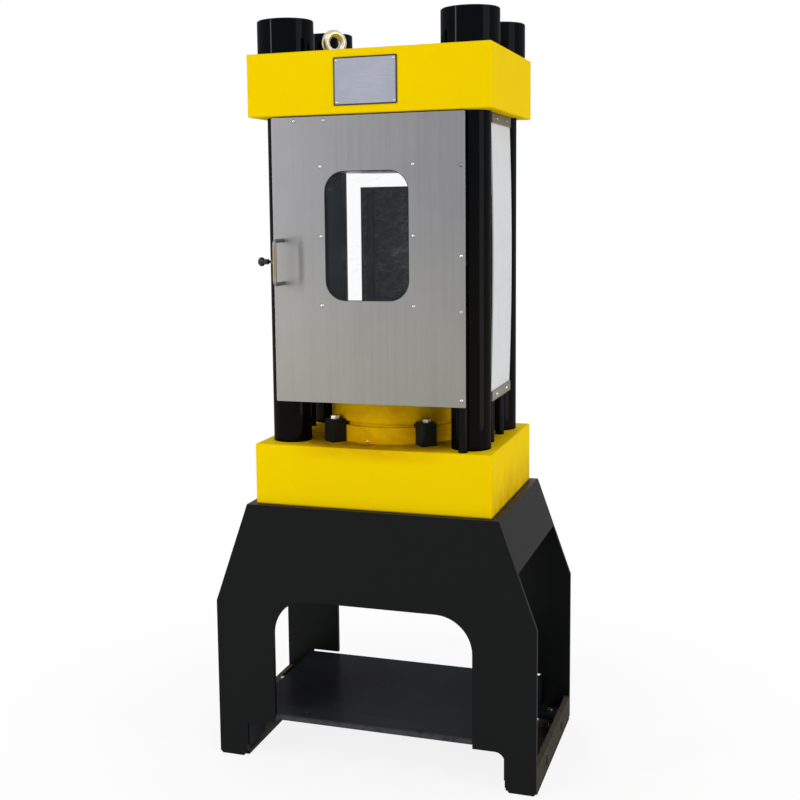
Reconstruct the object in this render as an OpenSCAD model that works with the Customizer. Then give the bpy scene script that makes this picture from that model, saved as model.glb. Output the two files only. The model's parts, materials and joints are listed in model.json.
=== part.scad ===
// Four-column compression testing machine on a plate stand, with a hinged guard door.
// Millimetres. +Z is up, the door faces -Y, and the origin is on the floor under the loading axis.

/* [Stand] */
// Height of the stand's top face above the floor
stand_h = 600; // [560:5:680]
// Width across the feet
foot_w = 744; // [700:2:800]
// Width of the stand at its top
stand_top_w = 580; // [556:2:640]
// Depth of the stand
stand_d = 446; // [430:2:500]
// Height of the shoulders, where the sides start to slope in
shoulder_z = 368; // [330:2:420]
// Thickness of the stand's plates
plate_t = 10; // [8:1:14]
// Width of the arch in the front and rear plates
arch_w = 463; // [420:1:500]
// Height of the arch's crown
arch_z = 383; // [330:1:430]
// Corner radius of the arch
arch_r = 82; // [40:1:110]
// Width of each foot
foot_pad_w = 69; // [50:1:80]
// Height of the notch between the front feet
notch_z = 89; // [74:1:96]
// Height of the notch between the rear feet
rear_notch_z = 108; // [90:1:125]
// Fillet radius of the notch between the front feet
notch_r = 22; // [8:1:40]
// Fillet radius of the notch between the rear feet
rear_notch_r = 4; // [2:1:10]
// Chamfer at the inner corner of each foot
foot_chamfer = 12; // [4:1:18]
// How far the sloped side plates come down from the top
slope_drop = 113; // [60:1:180]
// Height of the floor rails
rail_h = 58; // [50:1:66]
// Width of the floor rails' lower leg
rail_w = 69; // [56:1:78]
// Thickness of the floor rails
rail_t = 12; // [8:1:14]

/* [Shelf] */
// Height of the shelf's top face above the front notch
shelf_rise = 18; // [16:1:30]
// Thickness of the shelf's sheet
shelf_t = 4; // [3:1:6]
// Height of the lip at the shelf's front edge
shelf_lip_h = 9; // [8:1:14]
// Gap between the shelf's rear edge and the rear plate
shelf_rear_gap = 9; // [2:1:20]
// Height of the shelf brackets' top face above the floor
bracket_top = 58; // [55:1:66]
// Width of each shelf bracket
bracket_w = 50; // [30:1:80]
// Distance of the shelf brackets from the middle of the depth
bracket_y = 100; // [60:1:140]

/* [Load frame] */
// Width of the base block and the crosshead
head_w = 544; // [530:2:552]
// Depth of the base block and the crosshead
head_d = 418; // [404:2:426]
// Height of the base block
base_h = 138; // [130:1:180]
// Clear height between the base block and the crosshead
space_h = 724; // [700:1:800]
// Height of the crosshead
head_h = 135; // [110:1:180]
// Rounding of the blocks' edges
block_r = 4; // [1:0.5:8]
// Column spacing across the width
pitch_x = 418; // [410:1:424]
// Column spacing across the depth
pitch_y = 266; // [256:1:270]
// Diameter of the columns
column_d = 87; // [80:0.5:90]
// Diameter of the columns' spigots
spigot_d = 70; // [50:1:76]
// Depth of the spigots in the base block
spigot_depth = 108; // [70:1:120]
// Diameter of the column nuts
nut_d = 125; // [100:1:130]
// Height of the column nuts
nut_h = 76; // [50:1:100]
// Distance of the eye bolts from the middle
eye_x = 142; // [110:1:160]
// Outer diameter of the eye bolts' rings
eye_d = 62; // [54:1:72]
// Thickness of the eye bolts' rings
eye_wire = 18; // [12:1:19]
// Width of the name plate
name_w = 141; // [100:1:180]
// Height of the name plate
name_h = 101; // [60:1:110]

/* [Hydraulic cylinder] */
// Outer diameter of the cylinder
cyl_d = 303; // [296:1:312]
// Height of the cylinder
cyl_h = 190; // [180:1:196]
// Thickness of the cylinder's floor
cyl_floor = 36; // [34:1:46]
// Diameter of the piston
piston_d = 230; // [200:1:240]
// Height by which the piston stands out when it is down
piston_rise = 21; // [16:1:30]
// Travel of the piston, for checking the space above it
stroke = 50; // [30:1:60]
// Height of the hold-down groove above the base block
groove_z = 38; // [34:1:60]
// Width of the hold-down groove
groove_h = 10; // [8:1:14]
// Depth of the hold-down groove
groove_depth = 9; // [6:1:12]
// Angle of the clamps from the X axis
clamp_angle = 51; // [46:1:56]
// Width of the clamp blocks
clamp_w = 36; // [28:1:40]
// Radial depth of the clamp blocks
clamp_d = 34; // [26:1:38]
// Height of the clamp blocks
clamp_h = 52; // [50:1:70]
// Running clearance of the piston, on the radius
piston_gap = 0.05; // [0.02:0.01:0.1]

/* [Platens] */
// Diameter of both platens
platen_d = 300; // [280:1:310]
// Thickness of the lower platen
low_platen_t = 55; // [40:1:60]
// Thickness of the upper platen
up_platen_t = 50; // [40:1:52]
// Height from the crosshead down to the upper platen's face
face_drop = 118; // [116:1:130]
// Radius of the ball half
ball_r = 105; // [104:0.5:107]
// Largest tilt of the upper platen, in any direction, in degrees
seat_tilt = 3; // [2:0.1:3]
// Thickness of the bronze liner
liner_t = 4; // [3:0.5:4.5]
// Gap between the seat's ball faces
seat_gap = 0.3; // [0.2:0.05:0.4]

/* [Door] */
// Width of the door sheet
door_w = 433; // [420:1:440]
// Height of the door sheet
door_h = 622; // [600:1:624]
// Gap between the crosshead and the door's top edge
door_top_gap = 3; // [2:0.5:10]
// Thickness of the door sheet
door_t = 2; // [1.5:0.5:3]
// Corner radius of the door sheet
door_r = 3; // [2:0.5:10]
// Depth of the folded flange at the door's latch side
door_flange = 20; // [18:0.5:21]
// Width of the window opening
window_w = 190; // [150:1:200]
// Height of the window opening
window_h = 280; // [200:1:300]
// Corner radius of the window opening
window_r = 45; // [20:1:60]
// Height of the window's middle above the base block
window_z = 464; // [440:1:490]
// Overlap of the clear pane behind the sheet
pane_lap = 21; // [16:1:24]
// Thickness of the clear pane
pane_t = 4; // [3:0.5:5]
// Distance of the hinge axis from the middle
hinge_x = 205; // [200:0.5:208]
// Distance of the hinge axis in front of the middle
hinge_y = 190.5; // [189:0.5:194]
// Diameter of the hinge post where it carries the sleeves
hinge_pin_d = 14; // [12:0.5:15]
// Outer diameter of the hinge sleeves and the guard posts
post_d = 20; // [18:0.5:21]
// Length of each hinge sleeve
sleeve_l = 209; // [150:1:220]
// Distance from the door's lower edge up to the lower hinge sleeve
sleeve_low = 5; // [0:1:20]
// Distance from the door's top edge down to the upper hinge sleeve
sleeve_high = 101; // [90:1:120]
// Height of the latch and the handle above the base block
latch_z = 409; // [380:1:440]
// Spacing of the handle's legs
handle_l = 94; // [80:1:120]
// Distance of the handle's bar from the door
handle_reach = 50; // [35:1:60]
// Diameter of the handle's bar
handle_d = 8.5; // [8:0.5:12]
// Diameter of the latch's ball knob
knob_d = 21; // [16:0.5:26]
// Length of the ball knob along the pin
knob_l = 16.5; // [14:0.5:22]
// Travel of the latch pin
latch_travel = 7; // [6:0.5:8]

/* [Guards] */
// Distance of the side guard posts from the middle
side_post_x = 232; // [230:0.5:236]
// Distance of the side guard posts from the middle of the depth
side_post_y = 51; // [40:1:60]
// Length of the side sheets
side_w = 190; // [160:1:196]
// Thickness of the side sheets
side_t = 3; // [2:0.5:4]
// How far the side sheets bow outwards
side_bow = 5; // [0:0.5:8]
// Height of the steel strips
strip_h = 22; // [16:1:30]
// Thickness of the steel strips
strip_t = 2.5; // [2:0.5:4]
// Gap between the base block and the guard sheets
guard_gap = 98; // [90:1:110]
// Width of the rear sheet
rear_w = 276; // [264:2:296]
// Height of the rear sheet
rear_h = 477; // [300:1:600]
// Distance of the rear guard posts from the middle
rear_post_x = 114; // [100:1:118]
// Distance of the rear guard posts behind the middle
rear_post_y = 166; // [164:0.5:170]

/* [Hidden] */

// Clearance on the radius of a fixed pin or screw in its hole
fit = 0.1;
fine = 96;
round_fn = 48;
small_fn = 32;

// Heights of the main faces
base_z = stand_h + base_h;
head_z = base_z + space_h;
head_top = head_z + head_h;

// Stand
slope_run = (foot_w - stand_top_w) / 2;
slope_rise = stand_h - shoulder_z;
slope_angle = atan(slope_run / slope_rise);
foot_x = foot_w / 2 - foot_pad_w;
plate_y = stand_d / 2 - plate_t;
shelf_z = notch_z + shelf_rise;
rail_x = foot_w / 2 - rail_t;
rail_foot_t = 8;
bracket_t = 8;
bracket_lap = 18;
bracket_foot = rail_foot_t + 4;
skirt_z = rail_foot_t + 14;
skirt_gap = 3;
tab_end = rail_x - 1;
tab_bolt_d = 8;
tab_bolt_x = rail_x - 17;
anchor_d = 10;
anchor_x = rail_x - 20;
rail_bolt_d = 12;
rail_bolt_z = rail_foot_t + 20;
tray_bolt_d = 6;
tray_bolts = [[-166, -190], [110, -209]];
// Hexagon heads and nuts, in diameters of their bolt: corner to corner, head height, nut height
hex_corner = 1.8;
hex_head = 0.65;
hex_nut_h = 0.75;

// Columns and small holes
column_at = [for (sx = [-1, 1], sy = [-1, 1]) [sx * pitch_x / 2, sy * pitch_y / 2]];
nut_edge = 2;
nut_relief = 6;
nut_hole_d = 12;
post_pin_d = 10;
post_pin_l = 12;
name_t = 2;
name_margin = 7;
eye_shank_d = 20;
eye_shank_l = 30;
eye_collar_d = 40;
eye_collar_h = 10;
eye_turns = [50, 15];
register_h = 6;

// Cylinder, piston and clamps
bore_r = piston_d / 2;
piston_z = base_z + cyl_floor;
piston_top = base_z + cyl_h + piston_rise;
cyl_register_d = 120;
seal_h = 10;
seal_depth = 8;
seal_drop = 30;
seal_z = base_z + cyl_h - seal_drop;
wiper_z = base_z + cyl_h - seal_h;
clamp_gap = 0.8;
clamp_r = cyl_d / 2 + clamp_gap;
clamp_lip_h = groove_h - 2;
clamp_bolt_r = clamp_r + clamp_d / 2;
clamp_bolt_d = 12;
clamp_bolt_depth = 28;
port_z = base_z + 18;
port_d = 12;
port_thread_d = 16;
port_thread_l = 14;
port_turn_y = 25;
port_hex = 30;
port_hex_t = 14;
port_cap = 27;
port_cap_t = 16;
port_pipe_d = 18;
port_cap_y = 32;
drain_angle = -99;
drain_z = base_z + 5.5;
drain_bore_d = 5;
drain_d = 6;
dish_r = 40;
dish_h = 3;

// Lower platen
low_face_z = piston_top + low_platen_t;
platen_spigot_d = 60;
platen_spigot_h = 8;
platen_rings = [for (i = [2:5]) i * platen_d / 12];
platen_ring_w = 1.2;
platen_ring_depth = 0.6;

// Ball seat: the ball's centre lies in the upper platen's face. Rising heights are rounded up
// to a tenth of a millimetre, so the pieces that touch share one height.
function up(v) = ceil(v * 10 - 0.001) / 10;
face_z = head_z - face_drop;
tilt_sin = sin(seat_tilt);
tilt_room = 0.4;
up_platen_z = face_z + up_platen_t;
ring_r = 115;
ring_z = up(up_platen_z + ring_r * tilt_sin + tilt_room);
lip_t = 4;
flange_r = 92;
flange_t = 5;
cushion_z = ring_z + lip_t;
cushion_t = up(flange_r * tilt_sin + 0.5);
cushion_gap = 0.1;
flange_z = cushion_z + cushion_t + cushion_gap;
cap_z = flange_z + flange_t;
neck_r = 74;
lip_r = up(neck_r + (flange_z - face_z) * tilt_sin + 1.5);
ring_inner_r = up(flange_r + (cap_z - face_z) * tilt_sin + tilt_room);
housing_z = up(cap_z + flange_r * tilt_sin + 1.2);
liner_z = up(cap_z + (neck_r + 6) * tilt_sin + tilt_room);
liner_inner_r = ball_r + seat_gap;
liner_outer_r = liner_inner_r + liner_t;
socket_r = liner_outer_r + seat_gap;
housing_register_r = 50;
register_fit = 0.3;
seat_spigot_d = 40;
seat_spigot_h = 20;
seat_screw_d = 6;
seat_screw_r = (ring_r + ring_inner_r) / 2;
seat_head_d = 10;
seat_head_h = 6;
seat_screw_depth = 20;
seat_screw_angles = [45, 135, 225, 315];

// Door: its latch edge is at door_left and its front face at door_y
door_y = -hinge_y - 13.5;
door_right = hinge_x + post_d / 2 - 0.5;
door_left = door_right - door_w;
door_z = head_z - door_top_gap - door_h;
door_back = door_y + door_t;
window_x = -3;
window_mid = base_z + window_z;
screw_head_d = 9;
screw_head_h = 3;
screw_d = 5;
window_screw_dx = window_w / 2 + 9;
window_screw_dz = window_h / 2 + 10;
sleeve_z = [door_z + sleeve_low, door_z + door_h - sleeve_high - sleeve_l];
sleeve_pad_w = 2 * (door_right - hinge_x);
sleeve_gap = 0.05;
sleeve_screw_in = 10;
sleeve_thread = 3;
leg_thread = 10;
collar_d = 22;
collar_h = 10;
magnet_l = 90;
magnet_h = 12;
magnet_t = 12;
magnet_drop = 2.5;
magnet_z = door_z + door_h - magnet_drop - magnet_h;
magnet_x = -132;
magnet_screw_dx = 34;
sensor_gap = 3;
sensor_t = 14;
sensor_h = 24;
handle_x = door_left + 22;
handle_z = base_z + latch_z;
handle_bend = 9;
flange_relief = 14;

// Latch, measured from the outer face of the door's flange
latch_y = door_back + (door_flange - door_t) / 2;
pin_d = 6;
latch_out = 10.5;
latch_bore_d = 9.4;
latch_body_d = 12;
latch_wall = 2.5;
pin_collar_d = 9;
pin_collar_l = 2;
latch_in = latch_travel + latch_wall - 0.2;
pin_gap = 0.05;
knob_neck_d = 12.5;
knob_neck_l = 10;
nut_af = 17;
nut_t = 4;
pin_rest_x = door_left + latch_in + 0.5;
knob_face_x = door_left - latch_out - latch_travel - 0.2;
knob_x = knob_face_x - knob_neck_l - knob_l / 2 + 2;
spring_wire = 1;
spring_turns = 3;
strike_tab_t = 4;
strike_x = pin_rest_x + 2;
strike_w = 26;
strike_h = 54;
strike_tab_h = 22;
strike_t = 4.5;
strike_screw_dz = 19;
strike_screw_l = 16;
column_front_y = -pitch_y / 2 - column_d / 2;

// Guards
guard_z = base_z + guard_gap;
side_seat_x = side_post_x + post_d / 2 + 0.3;
side_top = head_z - 1;
strip_x = side_seat_x + side_t;
strip_z = [guard_z, side_top - strip_h];
side_screw_l = 11;
bow_steps = 12;
rear_t = 2;
rear_flange = 14;
rear_seat_y = rear_post_y + post_d / 2 + 0.3;
rear_post_top = guard_z + rear_h - 12;
rear_screw_inset = 30;
rear_screw_z = [guard_z + rear_screw_inset, guard_z + rear_h - rear_screw_inset];

// ---------- shapes used by several pieces ----------

// A square with four round corners
module rounded_rect(w, h, r) {
    square([w, h - 2 * r], center = true);
    square([w - 2 * r, h], center = true);
    for (sx = [-1, 1], sy = [-1, 1])
        translate([sx * (w / 2 - r), sy * (h / 2 - r)]) circle(r, $fn = small_fn);
}

// An opening that stands on the X axis, with two round upper corners
module arch_shape(w, h, r) {
    translate([-w / 2, -1]) square([w, h - r + 1]);
    translate([-w / 2 + r, -1]) square([w - 2 * r, h + 1]);
    for (s = [-1, 1]) translate([s * (w / 2 - r), h - r]) circle(r, $fn = fine);
}

// A block standing on z = 0 with all its edges rounded
module eased_block(w, d, h, r) {
    translate([0, 0, h / 2]) intersection() {
        linear_extrude(h, center = true) rounded_rect(w, d, r);
        rotate([90, 0, 0]) linear_extrude(d, center = true) rounded_rect(w, h, r);
        rotate([0, 90, 0]) linear_extrude(w, center = true) rounded_rect(h, d, r);
    }
}

// A shape drawn in X and Z, pushed back along +Y
module along_y(t) {
    translate([0, t, 0]) rotate([90, 0, 0]) linear_extrude(t) children();
}

// Round bars along each axis, starting at the origin
module bar_z(d, l, fn = round_fn) { cylinder(d = d, h = l, $fn = fn); }
module bar_y(d, l, fn = round_fn) { rotate([-90, 0, 0]) cylinder(d = d, h = l, $fn = fn); }
module bar_x(d, l, fn = round_fn) { rotate([0, 90, 0]) cylinder(d = d, h = l, $fn = fn); }

// A dome-headed screw: the head sits on z = 0 and the shank goes down
module dome_screw(l, head_d = screw_head_d, head_h = screw_head_h, d = screw_d) {
    dome_r = (head_d * head_d / 4 + head_h * head_h) / (2 * head_h);
    intersection() {
        translate([0, 0, head_h - dome_r]) sphere(dome_r, $fn = round_fn);
        cylinder(d = head_d, h = head_h + 1, $fn = small_fn);
    }
    translate([0, 0, -l]) bar_z(d, l + 0.5, small_fn);
}

// A hexagon bolt: the head sits on z = 0 and the shank goes down
module hex_bolt(d, l) {
    cylinder(d = hex_corner * d, h = hex_head * d, $fn = 6);
    translate([0, 0, -l]) bar_z(d, l + 1);
}

module hex_nut(d) { cylinder(d = hex_corner * d, h = hex_nut_h * d, $fn = 6); }

// A hexagon bolt whose nut grips a thickness under the head
module bolt_and_nut(d, grip) {
    hex_bolt(d, grip + d);
    translate([0, 0, -grip - hex_nut_h * d]) hex_nut(d);
}

// ---------- stand ----------

// Half width of the stand at height z, above the shoulder
function slope_x(z) = stand_top_w / 2 + (stand_h - z) * slope_run / slope_rise;

// Outline of the front and rear plates, in X and Z
module end_plate_outline(notch_h, corner_r) {
    plate_top = stand_h - plate_t;
    difference() {
        polygon([
            [-foot_w / 2, 0], [foot_w / 2, 0], [foot_w / 2, shoulder_z],
            [slope_x(plate_top), plate_top], [-slope_x(plate_top), plate_top],
            [-foot_w / 2, shoulder_z]
        ]);
        arch_shape(arch_w, arch_z, arch_r);
        arch_shape(2 * foot_x, notch_h, corner_r);
        for (s = [-1, 1]) {
            polygon([
                [s * (foot_x - 1), -1], [s * (foot_x + foot_chamfer * 0.8 + 0.8), -1],
                [s * foot_x, foot_chamfer], [s * (foot_x - 1), foot_chamfer]
            ]);
            polygon([
                [s * foot_w / 2, foot_chamfer / 2], [s * (foot_w / 2 + 1), foot_chamfer / 2],
                [s * (foot_w / 2 + 1), -1], [s * (foot_w / 2 - foot_chamfer / 2 - 1), -1]
            ]);
        }
    }
}

module stand_front_plate() {
    color([0.09, 0.09, 0.09]) translate([0, -stand_d / 2, 0]) along_y(plate_t)
        end_plate_outline(notch_z, notch_r);
}

module stand_rear_plate() {
    color([0.09, 0.09, 0.09]) translate([0, plate_y, 0]) along_y(plate_t)
        end_plate_outline(rear_notch_z, rear_notch_r);
}

module stand_top_plate() {
    z0 = stand_h - plate_t;
    color([0.15, 0.15, 0.15]) translate([0, -stand_d / 2, 0]) along_y(stand_d) polygon([
        [-slope_x(z0), z0], [slope_x(z0), z0], [stand_top_w / 2, stand_h], [-stand_top_w / 2, stand_h]
    ]);
}

module slope_plate(side) {
    z1 = stand_h - plate_t;
    z0 = stand_h - slope_drop;
    t = plate_t / cos(slope_angle);
    color([0.2, 0.2, 0.2]) translate([0, -plate_y, 0]) along_y(2 * plate_y) polygon([
        [side * slope_x(z1), z1], [side * slope_x(z0), z0],
        [side * (slope_x(z0) - t), z0], [side * (slope_x(z1) - t), z1]
    ]);
}

module stand_slope_plate_left() { slope_plate(-1); }
module stand_slope_plate_right() { slope_plate(1); }

// Cutter for the rail bolts: a countersunk head and a shank, pointing inwards
module rail_bolt_shape(side, grow = 0) {
    head_depth = rail_bolt_d / 2;
    l = rail_t + bracket_t + rail_bolt_d * hex_nut_h + 2;
    rotate([0, -90 * side, 0]) {
        cylinder(d1 = 2 * rail_bolt_d + 2 * grow, d2 = rail_bolt_d + 2 * grow, h = head_depth,
            $fn = round_fn);
        bar_z(rail_bolt_d + 2 * grow, l);
    }
}

module at_rail_bolts(side) {
    for (sy = [-1, 1]) translate([side * foot_w / 2, sy * bracket_y, rail_bolt_z]) children();
}

// Places of the bolts that hold the shelf's tabs, and of the rails' floor anchors
module at_tab_bolts() {
    for (sx = [-1, 1], sy = [-1, 1])
        translate([sx * tab_bolt_x, sy * bracket_y, bracket_top + shelf_t]) children();
}

module at_anchors() {
    for (sx = [-1, 1]) translate([sx * anchor_x, 0, rail_foot_t]) children();
}

// An angle whose lower leg lies on the floor and whose other leg is flush with the plates' edges
module stand_rail(side) {
    color([0.12, 0.12, 0.12]) difference() {
        translate([0, -plate_y, 0]) along_y(2 * plate_y) polygon([
            [side * foot_w / 2, 0], [side * foot_w / 2, rail_h], [side * rail_x, rail_h],
            [side * rail_x, rail_foot_t], [side * (foot_w / 2 - rail_w), rail_foot_t],
            [side * (foot_w / 2 - rail_w), 0]
        ]);
        at_rail_bolts(side) rail_bolt_shape(side, fit);
        at_anchors() translate([0, 0, -rail_foot_t - 1]) bar_z(anchor_d + 2 * fit, rail_foot_t + 2);
    }
}

module stand_rail_left() { stand_rail(-1); }
module stand_rail_right() { stand_rail(1); }

// A folded sheet: its sides are bent down past the brackets and rest on them with four tabs,
// and its front tongue reaches through the arch and has a lip bent down
module shelf_tray() {
    rear_y = plate_y - shelf_rear_gap;
    tongue_w = arch_w - 2;
    front_y = -stand_d / 2 + 1;
    body_y = -plate_y + 0.5;
    z0 = shelf_z - shelf_t;
    cut_w = bracket_w + 2 * skirt_gap;
    color([0.13, 0.13, 0.14]) difference() {
        union() {
            translate([-foot_x, body_y, z0]) cube([2 * foot_x, rear_y - body_y, shelf_t]);
            translate([-tongue_w / 2, front_y, z0]) cube([tongue_w, body_y - front_y + 1, shelf_t]);
            translate([-tongue_w / 2, front_y, shelf_z - shelf_lip_h])
                cube([tongue_w, shelf_t, shelf_lip_h]);
            for (side = [0, 1]) mirror([side, 0, 0]) {
                difference() {
                    translate([foot_x - shelf_t, body_y, skirt_z])
                        cube([shelf_t, plate_y - body_y, shelf_z - skirt_z]);
                    for (sy = [-1, 1])
                        translate([foot_x - shelf_t - 1, sy * bracket_y - cut_w / 2, skirt_z - 1])
                            cube([shelf_t + 2, cut_w, bracket_top - skirt_z + 1]);
                }
                for (sy = [-1, 1]) translate([foot_x - 1, sy * bracket_y - bracket_w / 2, bracket_top])
                    cube([tab_end - foot_x + 1, bracket_w, shelf_t]);
            }
        }
        for (p = tray_bolts) translate([p.x, p.y, z0 - 1]) bar_z(tray_bolt_d + 2 * fit, shelf_t + 2);
        at_tab_bolts() translate([0, 0, -shelf_t - 1]) bar_z(tab_bolt_d + 2 * fit, shelf_t + 2);
    }
}

// Angle cleats on the floor rails that carry the shelf
module shelf_brackets() {
    leg_x = rail_x - bracket_t;
    inner_x = foot_x - bracket_lap;
    color([0.1, 0.1, 0.1]) for (side = [-1, 1]) difference() {
        for (sy = [-1, 1]) translate([0, sy * bracket_y - bracket_w / 2, 0]) along_y(bracket_w) polygon([
            [side * rail_x, bracket_foot], [side * rail_x, bracket_top], [side * inner_x, bracket_top],
            [side * inner_x, bracket_top - bracket_t], [side * leg_x, bracket_top - bracket_t],
            [side * leg_x, bracket_foot]
        ]);
        at_rail_bolts(side) rail_bolt_shape(side, fit);
        at_tab_bolts() translate([0, 0, -shelf_t - bracket_t - 1])
            bar_z(tab_bolt_d + 2 * fit, bracket_t + 2);
    }
}

module stand_bolts() {
    color([0.6, 0.59, 0.55]) {
        for (side = [-1, 1]) at_rail_bolts(side) {
            rail_bolt_shape(side);
            translate([-side * (rail_t + bracket_t), 0, 0]) rotate([0, -90 * side, 0]) hex_nut(rail_bolt_d);
        }
        for (p = tray_bolts) translate([p.x, p.y, shelf_z]) bolt_and_nut(tray_bolt_d, shelf_t);
        at_tab_bolts() bolt_and_nut(tab_bolt_d, shelf_t + bracket_t);
        at_anchors() hex_bolt(anchor_d, rail_foot_t);
    }
}

// ---------- load frame ----------

// Places of the guard posts' pins in the base block and the crosshead
module at_full_posts() {
    for (sx = [-1, 1], sy = [-1, 1]) translate([sx * side_post_x, sy * side_post_y, 0]) children();
    translate([hinge_x, -hinge_y, 0]) children();
}

module at_rear_posts() {
    for (sx = [-1, 1]) translate([sx * rear_post_x, rear_post_y, 0]) children();
}

module at_clamps() {
    for (a = [clamp_angle, 180 - clamp_angle, 180 + clamp_angle, -clamp_angle])
        rotate([0, 0, a]) children();
}

module base_block() {
    color([0.93, 0.81, 0.0]) difference() {
        translate([0, 0, stand_h]) eased_block(head_w, head_d, base_h, block_r);
        for (p = column_at) translate([p.x, p.y, base_z - spigot_depth])
            cylinder(d = spigot_d + 2 * fit, h = spigot_depth + 1, $fn = fine);
        translate([0, 0, base_z - register_h])
            cylinder(d = cyl_register_d + 2 * fit, h = register_h + 1, $fn = fine);
        at_full_posts() translate([0, 0, base_z - post_pin_l - 1])
            bar_z(post_pin_d + 2 * fit, post_pin_l + 2);
        at_rear_posts() translate([0, 0, base_z - post_pin_l - 1])
            bar_z(post_pin_d + 2 * fit, post_pin_l + 2);
        at_clamps() translate([clamp_bolt_r, 0, base_z - clamp_bolt_depth])
            bar_z(clamp_bolt_d + 2 * fit, clamp_bolt_depth + 1);
    }
}

module column(sx, sy) {
    top = head_top + nut_h - nut_relief;
    color([0.04, 0.04, 0.05]) difference() {
        translate([sx * pitch_x / 2, sy * pitch_y / 2, 0]) {
            translate([0, 0, base_z]) cylinder(d = column_d, h = space_h, $fn = fine);
            translate([0, 0, base_z - spigot_depth])
                cylinder(d = spigot_d, h = top - base_z + spigot_depth, $fn = fine);
        }
        if (sx < 0 && sy < 0) at_strike_screws() bar_y(screw_d + 2 * fit, strike_screw_l + 1, small_fn);
    }
}

module column_front_left() { column(-1, -1); }
module column_front_right() { column(1, -1); }
module column_rear_left() { column(-1, 1); }
module column_rear_right() { column(1, 1); }

// Round nuts with pin holes in their top faces
module column_nuts() {
    color([0.04, 0.04, 0.05]) for (p = column_at) translate([p.x, p.y, head_top]) difference() {
        rotate_extrude($fn = fine) polygon([
            [spigot_d / 2 + fit, 0], [nut_d / 2 - nut_edge, 0], [nut_d / 2, nut_edge],
            [nut_d / 2, nut_h - nut_edge], [nut_d / 2 - nut_edge, nut_h],
            [spigot_d / 2 + fit, nut_h]
        ]);
        for (a = [0, 90, 180, 270]) rotate([0, 0, a])
            translate([(spigot_d + nut_d) / 4, 0, nut_h - 14]) bar_z(nut_hole_d, 15);
    }
}

module crosshead() {
    color([0.93, 0.81, 0.0]) difference() {
        translate([0, 0, head_z]) eased_block(head_w, head_d, head_h, block_r);
        for (p = column_at) translate([p.x, p.y, head_z - 1])
            cylinder(d = spigot_d + 2 * fit, h = head_h + 2, $fn = fine);
        for (s = [-1, 1]) translate([s * eye_x, 0, head_top - eye_shank_l - 2])
            bar_z(eye_shank_d + 2 * fit, eye_shank_l + 3);
        translate([0, 0, head_z - 1])
            cylinder(r = housing_register_r + register_fit, h = register_h + 1, $fn = fine);
        for (a = seat_screw_angles) rotate([0, 0, a]) translate([seat_screw_r, 0, head_z - 1])
            bar_z(seat_screw_d + 2 * fit, seat_screw_depth + 2);
        at_full_posts() translate([0, 0, head_z - 1]) bar_z(post_pin_d + 2 * fit, post_pin_l + 2);
        at_name_screws() bar_y(3 + 2 * fit, 8, small_fn);
        at_sensor_screws() translate([0, 0, sensor_h - 1]) bar_z(3 + 2 * fit, 12, small_fn);
    }
}

// DIN 580 style lifting eyes: collar, neck, ring and threaded shank
module eye_bolt(turn) {
    ring_mid = (eye_d - eye_wire) / 2;
    ring_z0 = eye_collar_h + eye_d / 2;
    rotate([0, 0, turn]) {
        cylinder(d = eye_collar_d, h = eye_collar_h - 4, $fn = round_fn);
        translate([0, 0, eye_collar_h - 4])
            cylinder(d1 = eye_collar_d, d2 = eye_collar_d * 0.55, h = 8, $fn = round_fn);
        translate([0, 0, -eye_shank_l]) bar_z(eye_shank_d, eye_shank_l + 1);
        translate([0, 0, ring_z0]) rotate([90, 0, 0]) rotate_extrude($fn = round_fn)
            translate([ring_mid, 0]) circle(d = eye_wire, $fn = small_fn);
    }
}

module eye_bolts() {
    color([0.75, 0.73, 0.66]) {
        translate([-eye_x, 0, head_top]) eye_bolt(eye_turns[0]);
        translate([eye_x, 0, head_top]) eye_bolt(eye_turns[1]);
    }
}

// Places of the name plate's screws, on the crosshead's front face
module at_name_screws() {
    for (sx = [-1, 1], sz = [-1, 1])
        translate([sx * (name_w / 2 - name_margin), -head_d / 2,
            head_z + head_h / 2 + sz * (name_h / 2 - name_margin)]) children();
}

module name_plate() {
    color([0.6, 0.6, 0.62]) difference() {
        translate([0, -head_d / 2 - name_t, head_z + head_h / 2]) along_y(name_t)
            rounded_rect(name_w, name_h, 2);
        at_name_screws() translate([0, -name_t - 1, 0]) bar_y(3 + 2 * fit, name_t + 2, small_fn);
    }
}

module name_plate_screws() {
    color([0.8, 0.8, 0.8]) at_name_screws() translate([0, -name_t, 0]) rotate([90, 0, 0])
        dome_screw(8, 6, 2, 3);
}

// ---------- cylinder, clamps and piston ----------

module cylinder_body_profile() {
    r = cyl_d / 2;
    top = cyl_h;
    polygon([
        [0, -register_h], [cyl_register_d / 2, -register_h], [cyl_register_d / 2, 0], [r - 1, 0],
        [r, 1], [r, groove_z], [r - groove_depth, groove_z], [r - groove_depth, groove_z + groove_h],
        [r, groove_z + groove_h], [r, top - 4], [r - 4, top], [bore_r + seal_depth, top],
        [bore_r + seal_depth, top - seal_h], [bore_r + piston_gap, top - seal_h],
        [bore_r + piston_gap, top - seal_drop + seal_h], [bore_r + seal_depth, top - seal_drop + seal_h],
        [bore_r + seal_depth, top - seal_drop], [bore_r + piston_gap, top - seal_drop],
        [bore_r + piston_gap, cyl_floor], [0, cyl_floor]
    ]);
}

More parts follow.
